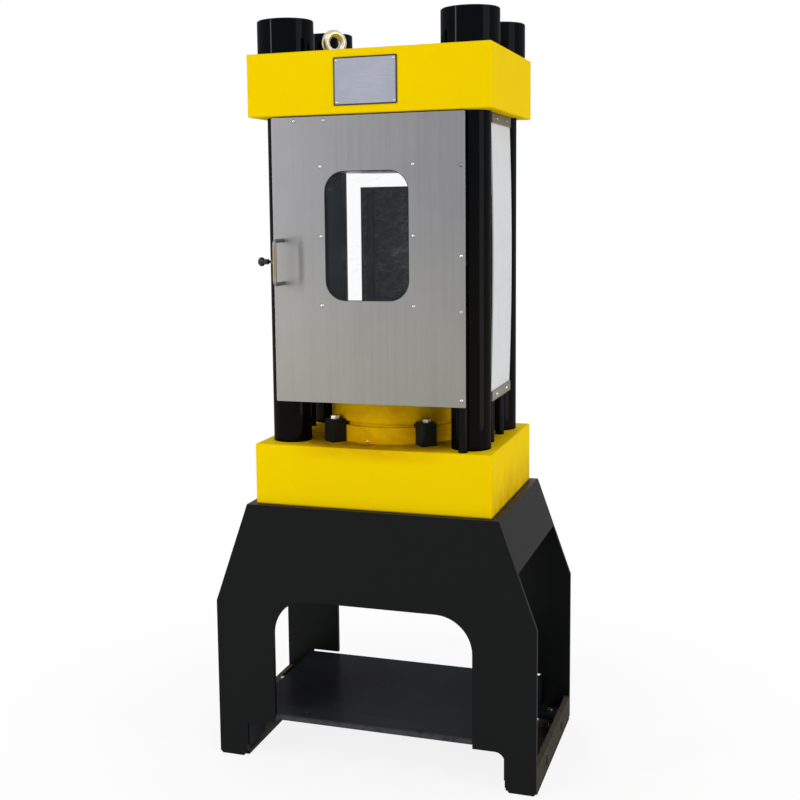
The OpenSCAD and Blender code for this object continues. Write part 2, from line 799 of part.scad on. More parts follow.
module cylinder_body() {
    color([0.93, 0.81, 0.0]) difference() {
        translate([0, 0, base_z]) rotate_extrude($fn = fine) cylinder_body_profile();
        translate([0, port_turn_y, port_z]) bar_y(port_d, cyl_d / 2);
        translate([0, port_turn_y, port_z]) bar_z(port_d, cyl_floor);
        translate([0, cyl_d / 2 - port_thread_l, port_z])
            bar_y(port_thread_d + 2 * fit, port_thread_l + 5);
        rotate([0, 0, drain_angle]) {
            translate([cyl_d / 2 - 10, 0, drain_z]) bar_x(drain_d + 2 * fit, 14, small_fn);
            translate([0, 0, drain_z]) bar_x(drain_bore_d, cyl_d / 2 - 5, small_fn);
            translate([0, 0, drain_z]) bar_z(drain_bore_d, cyl_floor, small_fn);
        }
    }
}

// Blocks whose lips sit in the cylinder's groove
module cylinder_clamps() {
    lip_reach = groove_depth - 1.5 + clamp_gap;
    edge = 3;
    color([0.07, 0.07, 0.07]) at_clamps() translate([0, 0, base_z]) difference() {
        translate([0, clamp_w / 2, 0]) rotate([90, 0, 0]) linear_extrude(clamp_w) polygon([
            [clamp_r, 0], [clamp_r + clamp_d, 0], [clamp_r + clamp_d, clamp_h - edge],
            [clamp_r + clamp_d - edge, clamp_h], [clamp_r, clamp_h],
            [clamp_r, groove_z + clamp_lip_h], [clamp_r - lip_reach, groove_z + clamp_lip_h],
            [clamp_r - lip_reach, groove_z], [clamp_r, groove_z]
        ]);
        translate([clamp_bolt_r, 0, -1]) bar_z(clamp_bolt_d + 2 * fit, clamp_h + 2);
    }
}

module clamp_bolts() {
    color([0.6, 0.59, 0.55]) at_clamps() translate([clamp_bolt_r, 0, base_z + clamp_h])
        hex_bolt(clamp_bolt_d, clamp_h + clamp_bolt_depth - 2);
}

module ring_at(z, r0, r1, h) {
    translate([0, 0, z]) rotate_extrude($fn = fine) translate([r0, 0]) square([r1 - r0, h]);
}

module piston_seal() {
    color([0.1, 0.1, 0.1]) ring_at(seal_z, bore_r + piston_gap, bore_r + seal_depth, seal_h);
}

module wiper_ring() {
    color([0.1, 0.1, 0.1]) ring_at(wiper_z, bore_r + piston_gap, bore_r + seal_depth, seal_h);
}

// A plain adaptor with a blanking cap, where the pump's hose goes on
module oil_port_fitting() {
    color([0.75, 0.75, 0.72]) translate([0, cyl_d / 2, port_z]) {
        translate([0, -port_thread_l + 1, 0]) bar_y(port_thread_d, port_thread_l);
        rotate([-90, 30, 0]) cylinder(d = port_hex, h = port_hex_t, $fn = 6);
        bar_y(port_pipe_d, port_cap_y + 2);
        translate([0, port_cap_y, 0]) rotate([-90, 30, 0])
            cylinder(d = port_cap, h = port_cap_t, $fn = 6);
    }
}

module drain_plug() {
    color([0.85, 0.75, 0.6]) rotate([0, 0, drain_angle]) translate([cyl_d / 2, 0, drain_z])
        rotate([0, 90, 0]) dome_screw(9, 8, 2.5, drain_d);
}

module piston() {
    edge = 3;
    top = piston_top - piston_z;
    color([0.75, 0.76, 0.78]) translate([0, 0, piston_z]) rotate_extrude($fn = fine) polygon([
        [0, dish_h], [dish_r, dish_h], [dish_r + dish_h, 0], [bore_r - edge, 0],
        [bore_r, edge], [bore_r, top - edge],
        [bore_r - edge, top], [platen_spigot_d / 2 + fit, top],
        [platen_spigot_d / 2 + fit, top - platen_spigot_h - 1], [0, top - platen_spigot_h - 1]
    ]);
}

// Centring rings are turned in the lower platen's face
module lower_platen() {
    color([0.5, 0.51, 0.53]) difference() {
        translate([0, 0, piston_top]) rotate_extrude($fn = fine) polygon([
            [0, -platen_spigot_h], [platen_spigot_d / 2, -platen_spigot_h], [platen_spigot_d / 2, 0],
            [platen_d / 2 - 1.5, 0], [platen_d / 2, 1.5], [platen_d / 2, low_platen_t - 1.5],
            [platen_d / 2 - 1.5, low_platen_t], [0, low_platen_t]
        ]);
        for (r = platen_rings) ring_at(low_face_z - platen_ring_depth, r, r + platen_ring_w, 2);
    }
}

// ---------- ball seat and upper platen ----------

module seat_housing() {
    color([0.3, 0.3, 0.32]) difference() {
        union() {
            translate([0, 0, housing_z]) cylinder(r = ring_r, h = head_z - housing_z, $fn = fine);
            translate([0, 0, head_z - 1])
                cylinder(r = housing_register_r, h = register_h - 0.5, $fn = fine);
        }
        translate([0, 0, face_z]) sphere(socket_r, $fn = fine);
        at_seat_screws() translate([0, 0, housing_z - 1])
            bar_z(seat_screw_d + 2 * fit, head_z - housing_z + 2);
    }
}

module at_seat_screws() {
    for (a = seat_screw_angles) rotate([0, 0, a]) translate([seat_screw_r, 0, 0]) children();
}

// The bronze shell between the housing and the ball half
module seat_liner() {
    color([0.72, 0.52, 0.25]) intersection() {
        translate([0, 0, face_z]) difference() {
            sphere(liner_outer_r, $fn = fine);
            sphere(liner_inner_r, $fn = fine);
        }
        translate([0, 0, liner_z]) cylinder(r = liner_outer_r, h = liner_outer_r, $fn = fine);
    }
}

module seat_ball() {
    color([0.6, 0.61, 0.63]) {
        intersection() {
            translate([0, 0, face_z]) sphere(ball_r, $fn = fine);
            translate([0, 0, cap_z - 0.5]) cylinder(r = ball_r, h = ball_r, $fn = fine);
        }
        translate([0, 0, flange_z]) cylinder(r = flange_r, h = flange_t, $fn = fine);
        translate([0, 0, up_platen_z]) cylinder(r = neck_r, h = flange_z - up_platen_z + 1, $fn = fine);
        translate([0, 0, up_platen_z - seat_spigot_h + 1])
            cylinder(d = seat_spigot_d, h = seat_spigot_h, $fn = round_fn);
    }
}

module upper_platen() {
    edge = 1.5;
    r = platen_d / 2;
    color([0.32, 0.32, 0.34]) difference() {
        translate([0, 0, face_z]) rotate_extrude($fn = fine) polygon([
            [0, 0], [r - edge, 0], [r, edge], [r, up_platen_t - edge], [r - edge, up_platen_t],
            [seat_spigot_d / 2 + fit, up_platen_t], [seat_spigot_d / 2 + fit, up_platen_t - seat_spigot_h],
            [0, up_platen_t - seat_spigot_h]
        ]);
        for (a = [0, 90, 180, 270]) rotate([0, 0, a])
            translate([r - 20, 0, face_z + up_platen_t / 2]) bar_x(12, 22);
    }
}

module retaining_ring() {
    color([0.3, 0.3, 0.32]) difference() {
        translate([0, 0, ring_z]) rotate_extrude($fn = fine) polygon([
            [lip_r, 0], [ring_r, 0], [ring_r, housing_z - ring_z], [ring_inner_r, housing_z - ring_z],
            [ring_inner_r, lip_t], [lip_r, lip_t]
        ]);
        at_seat_screws() translate([0, 0, ring_z - 1]) {
            bar_z(seat_head_d + 2 * fit, seat_head_h + 1.5, small_fn);
            bar_z(seat_screw_d + 2 * fit, housing_z - ring_z + 2, small_fn);
        }
    }
}

module cushion_ring() {
    color([0.08, 0.08, 0.08]) ring_at(cushion_z, lip_r, flange_r, cushion_t);
}

module seat_screws() {
    color([0.2, 0.2, 0.2]) at_seat_screws() translate([0, 0, ring_z + 0.5]) {
        bar_z(seat_head_d, seat_head_h, small_fn);
        bar_z(seat_screw_d, head_z - ring_z + seat_screw_depth - 1, small_fn);
    }
}

// ---------- door ----------

// Places of the door's screws on its front face
module at_window_screws() {
    for (sx = [-1, 1], sz = [-1, 0, 1])
        translate([window_x + sx * window_screw_dx, door_y, window_mid + sz * window_screw_dz])
            children();
}

module at_sleeve_screws() {
    for (z0 = sleeve_z, dz = [sleeve_screw_in, sleeve_l - sleeve_screw_in])
        translate([hinge_x, door_y, z0 + dz]) children();
}

module at_magnet_screws() {
    for (s = [-1, 1])
        translate([magnet_x + s * magnet_screw_dx, door_y, magnet_z + magnet_h / 2]) children();
}

module at_handle_legs() {
    for (s = [-1, 1]) translate([handle_x, door_y, handle_z + s * handle_l / 2]) children();
}

module door_panel() {
    mid_x = (door_left + door_right) / 2;
    color([0.6, 0.6, 0.61]) difference() {
        union() {
            translate([mid_x, door_y, door_z + door_h / 2]) along_y(door_t)
                rounded_rect(door_w, door_h, door_r);
            translate([door_left, door_y, door_z + flange_relief])
                cube([door_t, door_flange, door_h - 2 * flange_relief]);
        }
        translate([window_x, door_y - 1, window_mid]) along_y(door_t + 2)
            rounded_rect(window_w, window_h, window_r);
        at_window_screws() translate([0, -1, 0]) bar_y(screw_d + 2 * fit, door_t + 2, small_fn);
        at_sleeve_screws() translate([0, -1, 0]) bar_y(screw_d + 2 * fit, door_t + 2, small_fn);
        at_magnet_screws() translate([0, -1, 0]) bar_y(screw_d + 2 * fit, door_t + 2, small_fn);
        at_handle_legs() translate([0, -1, 0]) bar_y(screw_d + 2 * fit, door_t + 2, small_fn);
        translate([door_left - 1, latch_y, handle_z])
            bar_x(latch_body_d + 2 * fit, door_t + 2, small_fn);
    }
}

module door_window() {
    color([0.8, 0.88, 0.9, 0.3]) difference() {
        translate([window_x, door_back, window_mid]) along_y(pane_t)
            rounded_rect(window_w + 2 * pane_lap, window_h + 2 * pane_lap, 6);
        at_window_screws() translate([0, door_t - 1, 0])
            bar_y(screw_d + 2 * fit, pane_t + 2, small_fn);
    }
}

// Dome screws of the window, the hinge sleeves and the magnet, and the handle's two from behind
module door_screws() {
    color([0.85, 0.85, 0.86]) {
        at_window_screws() rotate([90, 0, 0]) dome_screw(door_t + pane_t + 5);
        at_window_screws() translate([0, door_t + pane_t, 0]) rotate([-90, 0, 0])
            cylinder(d = screw_d * 1.9, h = 4, $fn = 6);
        at_sleeve_screws() rotate([90, 0, 0]) dome_screw(door_t + sleeve_thread);
        at_magnet_screws() rotate([90, 0, 0]) dome_screw(door_t + 8);
        at_handle_legs() translate([0, door_t, 0]) rotate([-90, 0, 0])
            dome_screw(door_t + leg_thread);
    }
}

// A round sleeve with a flat pad against the door sheet
module hinge_sleeve(z0) {
    color([0.07, 0.07, 0.07]) difference() {
        translate([hinge_x, -hinge_y, z0]) union() {
            cylinder(d = post_d, h = sleeve_l, $fn = round_fn);
            translate([-sleeve_pad_w / 2, door_back + hinge_y, 0])
                cube([sleeve_pad_w, -hinge_y - door_back, sleeve_l]);
        }
        translate([hinge_x, -hinge_y, z0 - 1])
            bar_z(hinge_pin_d + 2 * sleeve_gap, sleeve_l + 2);
        at_sleeve_screws() translate([0, door_t - 1, 0])
            bar_y(screw_d + 2 * fit, sleeve_thread + 1.5, small_fn);
    }
}

module hinge_sleeve_lower() { hinge_sleeve(sleeve_z[0]); }
module hinge_sleeve_upper() { hinge_sleeve(sleeve_z[1]); }

module hinge_post() {
    color([0.06, 0.06, 0.06]) translate([hinge_x, -hinge_y, base_z]) {
        bar_z(post_d, sleeve_z[0] - base_z);
        bar_z(hinge_pin_d, space_h);
        translate([0, 0, -post_pin_l]) bar_z(post_pin_d, space_h + 2 * post_pin_l);
    }
}

module hinge_collar() {
    color([0.07, 0.07, 0.07]) translate([hinge_x, -hinge_y, sleeve_z[1] - collar_h]) difference() {
        bar_z(collar_d, collar_h);
        translate([0, 0, -1]) bar_z(hinge_pin_d + 2 * fit, collar_h + 2);
    }
}

// A bent round bar with two feet against the door
module door_handle() {
    straight = handle_l - 2 * handle_bend;
    leg = handle_reach - handle_bend;
    color([0.75, 0.75, 0.76]) difference() {
        translate([handle_x, door_y, handle_z]) {
            translate([0, -handle_reach, -straight / 2]) bar_z(handle_d, straight, small_fn);
            for (s = [-1, 1]) {
                translate([0, -leg, s * handle_l / 2]) bar_y(handle_d, leg, small_fn);
                translate([0, -leg, s * straight / 2]) mirror([0, 0, s > 0 ? 0 : 1])
                    rotate([0, -90, 0]) rotate([0, 0, -90]) rotate_extrude(angle = 90, $fn = round_fn)
                        translate([handle_bend, 0]) circle(d = handle_d, $fn = small_fn);
            }
        }
        at_handle_legs() translate([0, -leg_thread - 1, 0])
            bar_y(screw_d + 2 * fit, leg_thread + 2, small_fn);
    }
}

// ---------- latch ----------

// Turned about the X axis through the latch: the profile's first number runs along X
module turned_x(points) {
    translate([0, latch_y, handle_z]) rotate([0, 90, 0]) rotate_extrude($fn = round_fn)
        polygon([for (p = points) [p.y, p.x]]);
}

module latch_housing() {
    x0 = door_left - latch_out;
    x1 = door_left + latch_in;
    r = latch_body_d / 2;
    hole = pin_d / 2 + pin_gap;
    bore = latch_bore_d / 2;
    color([0.3, 0.3, 0.31]) turned_x([
        [x0, hole], [x0 + 1, r - 0.5], [x0 + 1, r], [door_left - 3, r], [door_left - 3, 9],
        [door_left, 9], [door_left, r], [x1, r], [x1, hole], [x1 - latch_wall, hole],
        [x1 - latch_wall, bore], [x0 + latch_wall, bore], [x0 + latch_wall, hole]
    ]);
}

module latch_nut() {
    color([0.7, 0.7, 0.7]) translate([door_left + door_t, latch_y, handle_z]) difference() {
        rotate([0, 90, 0]) cylinder(d = nut_af / cos(30), h = nut_t, $fn = 6);
        translate([-1, 0, 0]) bar_x(latch_body_d + 2 * fit, nut_t + 2, small_fn);
    }
}

// The pin is drawn parked: pulled out, with its spring pressed together
module latch_pin() {
    collar_x = door_left - latch_out + latch_wall + spring_turns * spring_wire * 1.7 + 0.6;
    r = pin_d / 2;
    color([0.75, 0.75, 0.76]) turned_x([
        [knob_face_x - knob_neck_l + 1, 0], [pin_rest_x, 0], [pin_rest_x, r - 1],
        [pin_rest_x - 1, r], [collar_x + pin_collar_l, r],
        [collar_x + pin_collar_l, pin_collar_d / 2], [collar_x, pin_collar_d / 2], [collar_x, r],
        [knob_face_x - knob_neck_l + 1, r]
    ]);
}

module latch_knob() {
    r = knob_d / 2;
    neck_r = knob_neck_d / 2;
    bore = pin_d / 2 + fit;
    bore_x = knob_face_x - knob_neck_l + 0.7;
    start = asin(neck_r / r);
    steps = 14;
    ball = [for (i = [0:steps]) let (a = start + (180 - start) * i / steps)
        [knob_x + knob_l / 2 * cos(a), r * sin(a)]];
    color([0.03, 0.03, 0.03])
        turned_x(concat([[bore_x, 0], [bore_x, bore], [knob_face_x, bore], [knob_face_x, neck_r]], ball));
}

// A short coil round the pin, inside the housing
module latch_spring() {
    sides = 8;
    per_turn = 14;
    rise = spring_wire * 1.5;
    r = (pin_d / 2 + latch_bore_d / 2) / 2;
    rings = spring_turns * per_turn;
    x0 = door_left - latch_out + latch_wall + spring_wire / 2 + 0.1;
    points = [for (i = [0:rings], k = [0:sides - 1])
        let (a = 360 * i / per_turn, b = 360 * k / sides, q = r + spring_wire / 2 * cos(b))
            [x0 + rise * i / per_turn + spring_wire / 2 * sin(b), q * cos(a), q * sin(a)]];
    color([0.7, 0.7, 0.7]) translate([0, latch_y, handle_z]) polyhedron(
        points,
        concat(
            [[for (k = [0:sides - 1]) k]],
            [for (i = [0:rings - 1], k = [0:sides - 1])
                [i * sides + k, (i + 1) * sides + k, (i + 1) * sides + (k + 1) % sides,
                    i * sides + (k + 1) % sides]],
            [[for (k = [sides - 1:-1:0]) rings * sides + k]]
        )
    );
}

// Places of the strike bracket's screws, on the front left column
module at_strike_screws() {
    for (s = [-1, 1])
        translate([-pitch_x / 2, column_front_y, handle_z + s * strike_screw_dz]) children();
}

module strike_bracket() {
    y0 = column_front_y - strike_t;
    front = latch_y - 6;
    color([0.25, 0.25, 0.26]) difference() {
        union() {
            translate([-pitch_x / 2 - strike_w / 2, y0, handle_z - strike_h / 2])
                cube([strike_w, strike_t, strike_h]);
            translate([strike_x, front, handle_z - strike_tab_h / 2])
                cube([strike_tab_t, y0 - front + 1, strike_tab_h]);
        }
        translate([strike_x - 1, latch_y, handle_z]) bar_x(pin_d + 1, strike_tab_t + 2, small_fn);
        at_strike_screws() translate([0, -strike_t - 1, 0])
            bar_y(screw_d + 2 * fit, strike_t + 2, small_fn);
    }
}

// ---------- interlock ----------

module interlock_magnet() {
    color([0.06, 0.06, 0.06]) difference() {
        translate([magnet_x - magnet_l / 2, door_back, magnet_z])
            cube([magnet_l, magnet_t, magnet_h]);
        at_magnet_screws() translate([0, door_t - 1, 0]) bar_y(screw_d + 2 * fit, 10, small_fn);
    }
}

// Places of the sensor's screws, at its underside
module at_sensor_screws() {
    for (s = [-1, 1])
        translate([magnet_x + s * magnet_screw_dx, door_back + magnet_t + sensor_gap + sensor_t / 2,
            head_z - sensor_h]) children();
}

module interlock_sensor() {
    color([0.06, 0.06, 0.06]) difference() {
        translate([magnet_x - magnet_l / 2, door_back + magnet_t + sensor_gap, head_z - sensor_h])
            cube([magnet_l, sensor_t, sensor_h]);
        at_sensor_screws() translate([0, 0, -1]) bar_z(3 + 2 * fit, sensor_h + 2, small_fn);
    }
}

// ---------- guards ----------

// Places of the screws that go through the strips and side sheets into the posts
module at_side_screws() {
    for (sx = [-1, 1], sy = [-1, 1], z = strip_z)
        translate([sx * (strip_x + strip_t), sy * side_post_y, z + strip_h / 2])
            rotate([0, 90 * sx, 0]) children();
}

module at_rear_screws() {
    for (sx = [-1, 1], z = rear_screw_z)
        translate([sx * rear_post_x, rear_seat_y + rear_t, z]) rotate([-90, 0, 0]) children();
}

module side_guard_posts() {
    color([0.06, 0.06, 0.06]) difference() {
        for (sx = [-1, 1], sy = [-1, 1]) translate([sx * side_post_x, sy * side_post_y, base_z]) {
            bar_z(post_d, space_h);
            translate([0, 0, -post_pin_l]) bar_z(post_pin_d, space_h + 2 * post_pin_l);
        }
        at_side_screws() translate([0, 0, -side_screw_l - 1]) bar_z(screw_d + 2 * fit, side_screw_l + 1);
    }
}

// A pale sheet that is flat under the strips and bows out between them
module side_panel(side) {
    z0 = guard_z + strip_h;
    z1 = side_top - strip_h;
    bow = [for (i = [0:bow_steps]) let (u = i / bow_steps) [4 * side_bow * u * (1 - u), z0 + (z1 - z0) * u]];
    ends = concat([[0, guard_z]], bow, [[0, side_top]]);
    inner = [for (p = ends) [side * (side_seat_x + p.x), p.y]];
    outer = [for (i = [len(ends) - 1:-1:0]) [side * (side_seat_x + side_t + ends[i].x), ends[i].y]];
    color([0.82, 0.83, 0.84]) difference() {
        translate([0, -side_w / 2, 0]) along_y(side_w) polygon(concat(inner, outer));
        at_side_screws() translate([0, 0, -strip_t - side_t - 1])
            bar_z(screw_d + 2 * fit, side_t + 2, small_fn);
    }
}

module side_panel_left() { side_panel(-1); }
module side_panel_right() { side_panel(1); }

module panel_strips() {
    color([0.62, 0.61, 0.58]) difference() {
        for (side = [-1, 1], z = strip_z)
            translate([side > 0 ? strip_x : -strip_x - strip_t, -side_w / 2, z])
                cube([strip_t, side_w, strip_h]);
        at_side_screws() translate([0, 0, -strip_t - 1]) bar_z(screw_d + 2 * fit, strip_t + 2, small_fn);
    }
}

module rear_guard_posts() {
    color([0.06, 0.06, 0.06]) difference() {
        at_rear_posts() {
            translate([0, 0, base_z]) bar_z(post_d, rear_post_top - base_z);
            translate([0, 0, base_z - post_pin_l]) bar_z(post_pin_d, post_pin_l + 1);
        }
        at_rear_screws() translate([0, 0, -side_screw_l - 1]) bar_z(screw_d + 2 * fit, side_screw_l + 1);
    }
}

// A dark sheet with flanges folded forwards at its sides and top
module rear_panel() {
    color([0.2, 0.21, 0.22]) difference() {
        translate([-rear_w / 2, rear_seat_y + rear_t - rear_flange, guard_z])
            cube([rear_w, rear_flange, rear_h]);
        translate([-rear_w / 2 + rear_t, rear_seat_y - rear_flange, guard_z - 1])
            cube([rear_w - 2 * rear_t, rear_flange, rear_h - rear_t + 1]);
        at_rear_screws() translate([0, 0, -rear_t - 1]) bar_z(screw_d + 2 * fit, rear_t + 2, small_fn);
    }
}

// Screws of the side strips, the rear sheet, the strike bracket and the sensor
module guard_screws() {
    color([0.85, 0.85, 0.86]) {
        at_side_screws() dome_screw(side_screw_l);
        at_rear_screws() dome_screw(side_screw_l);
        at_strike_screws() translate([0, -strike_t, 0]) rotate([90, 0, 0])
            dome_screw(strike_screw_l);
        at_sensor_screws() rotate([180, 0, 0]) dome_screw(sensor_h + 8, 5.5, 2, 3);
    }
}

stand_front_plate();
stand_rear_plate();
stand_top_plate();
stand_slope_plate_left();
stand_slope_plate_right();
stand_rail_left();
stand_rail_right();
shelf_tray();
shelf_brackets();
stand_bolts();
base_block();
column_front_left();
column_front_right();
column_rear_left();
column_rear_right();
column_nuts();
crosshead();
eye_bolts();
name_plate();
name_plate_screws();
cylinder_body();
cylinder_clamps();
clamp_bolts();
piston_seal();
wiper_ring();
oil_port_fitting();
drain_plug();
piston();
lower_platen();
seat_housing();
seat_liner();
seat_ball();
upper_platen();
retaining_ring();
cushion_ring();
seat_screws();
door_panel();
door_window();
door_screws();
hinge_sleeve_lower();
hinge_sleeve_upper();
hinge_post();
hinge_collar();
door_handle();
latch_housing();
latch_nut();
latch_pin();
latch_knob();
latch_spring();
strike_bracket();
interlock_magnet();
interlock_sensor();
side_guard_posts();
side_panel_left();
side_panel_right();
panel_strips();
rear_guard_posts();
rear_panel();
guard_screws();
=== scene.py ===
"""Looks of the compression testing machine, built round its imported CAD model, in metres."""

import json
import math
import random

import bmesh
import bpy
from mathutils import Matrix, Vector


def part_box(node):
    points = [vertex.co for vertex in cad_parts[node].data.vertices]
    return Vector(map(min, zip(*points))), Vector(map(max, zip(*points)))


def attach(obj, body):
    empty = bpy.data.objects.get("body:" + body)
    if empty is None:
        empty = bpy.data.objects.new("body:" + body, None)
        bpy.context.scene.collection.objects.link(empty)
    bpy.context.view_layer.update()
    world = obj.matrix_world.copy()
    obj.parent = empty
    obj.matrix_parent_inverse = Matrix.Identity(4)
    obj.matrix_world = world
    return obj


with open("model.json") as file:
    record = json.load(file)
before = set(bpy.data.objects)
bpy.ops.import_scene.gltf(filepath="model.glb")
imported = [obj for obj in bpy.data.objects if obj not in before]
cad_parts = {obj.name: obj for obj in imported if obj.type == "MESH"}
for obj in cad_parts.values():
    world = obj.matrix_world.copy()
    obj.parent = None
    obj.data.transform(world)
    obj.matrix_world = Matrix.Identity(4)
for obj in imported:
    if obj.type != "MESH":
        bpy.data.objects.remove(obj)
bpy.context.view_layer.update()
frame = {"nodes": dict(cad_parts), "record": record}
nodes = frame["nodes"]
random.seed(7)

# ---------------------------------------------------------------- camera

YAW, PITCH, ROLL = (math.radians(a) for a in (19.774, 7.103, 0.900))
CAMERA_PLACE = Vector((0.8440, -2.7730, 1.2588))
LENS_MM, SENSOR_MM = 56.42, 36
SHIFT_X, SHIFT_Y = 0.0815, -0.0422
NEAREST, FARTHEST = 0.05, 60


def make_camera():
    """The photograph's viewpoint: yaw about Z, pitch down, then roll about the view."""
    ahead = Vector((-math.sin(YAW) * math.cos(PITCH), math.cos(YAW) * math.cos(PITCH), -math.sin(PITCH)))
    right = Vector((math.cos(YAW), math.sin(YAW), 0))
    down = ahead.cross(right)
    x_axis = right * math.cos(ROLL) + down * math.sin(ROLL)
    y_axis = right * math.sin(ROLL) - down * math.cos(ROLL)
    turn = Matrix((x_axis, y_axis, -ahead)).transposed().to_4x4()
    camera = bpy.data.objects.new("camera", bpy.data.cameras.new("camera"))
    camera.matrix_world = Matrix.Translation(CAMERA_PLACE) @ turn
    camera.data.sensor_width = SENSOR_MM
    camera.data.lens = LENS_MM
    camera.data.shift_x = SHIFT_X
    camera.data.shift_y = SHIFT_Y
    camera.data.clip_start = NEAREST
    camera.data.clip_end = FARTHEST
    bpy.context.scene.collection.objects.link(camera)
    bpy.context.scene.camera = camera


# ---------------------------------------------------------------- shader helpers


def rgb(red, green, blue):
    """A colour given as 0 to 255 screen values, as the linear values a shader takes."""
    values = []
    for value in (red, green, blue):
        v = value / 255
        values.append(v / 12.92 if v <= 0.04045 else ((v + 0.055) / 1.055) ** 2.4)
    return (*values, 1.0)


def scaled(colour, factor):
    """A lighter or darker version of a linear colour."""
    return tuple(min(1.0, c * factor) for c in colour[:3]) + (1.0,)


class Nodes:
    """A node tree under construction, with short names for the nodes that its users share."""

    def __init__(self, tree):
        self.tree = tree
        tree.nodes.clear()

    def put(self, socket, value):
        """Links an output, or sets a plain value, on an input socket."""
        if isinstance(value, bpy.types.NodeSocket):
            self.tree.links.new(value, socket)
        else:
            socket.default_value = value

    def add(self, kind, inputs=None, **settings):
        """A new node. Its settings come before its inputs, since they decide which sockets it has."""
        node = self.tree.nodes.new("ShaderNode" + kind)
        for name, value in settings.items():
            setattr(node, name, value)
        for key, value in (inputs or {}).items():
            self.put(node.inputs[key], value)
        return node

    def calc(self, operation, *values, clamp=False):
        return self.add("Math", dict(enumerate(values)), operation=operation, use_clamp=clamp).outputs[0]

    def times(self, first, *others):
        """The product of two or more values."""
        for other in others:
            first = self.calc("MULTIPLY", first, other)
        return first

    def plus(self, first, second):
        """The sum of two values, kept within 0 to 1."""
        return self.calc("ADD", first, second, clamp=True)

    def spread(self, value, low, high, out_low=0.0, out_high=1.0):
        """Maps low..high to out_low..out_high, smoothly and within those limits."""
        inputs = {"Value": value, "From Min": low, "From Max": high, "To Min": out_low, "To Max": out_high}
        return self.add("MapRange", inputs, interpolation_type="SMOOTHSTEP").outputs[0]


class Finish(Nodes):
    """A material under construction."""

    def __init__(self, name):
        self.material = bpy.data.materials.new(name)
        self.material.use_nodes = True
        super().__init__(self.material.node_tree)
        self.shader = self.add("BsdfPrincipled")
        self.add("OutputMaterial", {"Surface": self.shader.outputs[0]})
        self.place = self.add("TexCoord").outputs["Object"]
        self.geometry = self.add("NewGeometry")
        self.height = None

    def set(self, **values):
        """Sets the shader's sockets, with an underscore for each space in their names."""
        for name, value in values.items():
            self.put(self.shader.inputs[name.replace("_", " ")], value)

    def stretch(self, x, y, z):
        """The object's own coordinates, scaled along each axis."""
        return self.add("VectorMath", {0: self.place, 1: (x, y, z)}, operation="MULTIPLY").outputs[0]

    def noise(self, scale, detail=3.0, rough=0.55, place=None, distortion=0.0):
        inputs = {"Vector": place or self.place, "Scale": scale, "Detail": detail,
                  "Roughness": rough, "Distortion": distortion}
        return self.add("TexNoise", inputs).outputs["Fac"]

    def blend(self, factor, first, second):
        node = self.add("Mix", data_type="RGBA", blend_type="MIX")
        self.put(node.inputs[0], factor)
        self.put(node.inputs[6], first)
        self.put(node.inputs[7], second)
        return node.outputs[2]

    def patches(self, scale, first, second, low=0.3, high=0.7, detail=4.0):
        """Two colours in soft patches, about scale of them in a metre."""
        return self.blend(self.spread(self.noise(scale, detail), low, high), first, second)

    def uneven(self, scale, least, most, detail=4.0):
        """A value that wanders between least and most, about scale times in a metre."""
        return self.spread(self.noise(scale, detail), 0.3, 0.7, least, most)

    def axis(self, vector, name):
        return self.add("SeparateXYZ", {0: vector}).outputs[name]

    def xyz(self):
        """The three coordinates of the place on the object."""
        return [self.axis(self.place, name) for name in "XYZ"]

    def radius(self, x, y):
        """The distance from the loading axis, which is Z."""
        return self.calc("SQRT", self.calc("ADD", self.times(x, x), self.times(y, y)))

    def facing(self, name):
        """How far the face looks along an axis, from -1 to 1."""
        return self.axis(self.geometry.outputs["Normal"], name)

    def facing_up(self):
        """1 on faces that look up, where dust settles."""
        return self.spread(self.facing("Z"), 0.6, 0.95)

    def raise_by(self, value, metres):
        """Adds a height, in metres at value 1, to what the bump follows."""
        step = self.times(value, metres)
        self.height = step if self.height is None else self.calc("ADD", self.height, step)

    def bevel(self, radius):
        """The normal as if edges were rounded to a radius."""
        return self.add("Bevel", {"Radius": radius}, samples=4).outputs[0]

    def edges(self, radius):
        """1 where the rounded normal leaves the face's own, near an edge, and 0 on the open face."""
        both = {0: self.bevel(radius), 1: self.geometry.outputs["Normal"]}
        same = self.add("VectorMath", both, operation="DOT_PRODUCT").outputs["Value"]
        return self.spread(same, 0.985, 0.80)

    def finish(self, edge=0.0):
        """Joins the bump and the edges, rounded by edge, to the shader and returns the material."""
        normal = self.bevel(edge) if edge else None
        if self.height is not None:
            inputs = {"Height": self.height, "Strength": 1.0, "Distance": 1.0}
            if normal is not None:
                inputs["Normal"] = normal
            normal = self.add("Bump", inputs).outputs[0]
        if normal is not None:
            self.put(self.shader.inputs["Normal"], normal)
        return self.material


# ---------------------------------------------------------------- painted finishes

SETTLED_DUST = rgb(150, 145, 135)


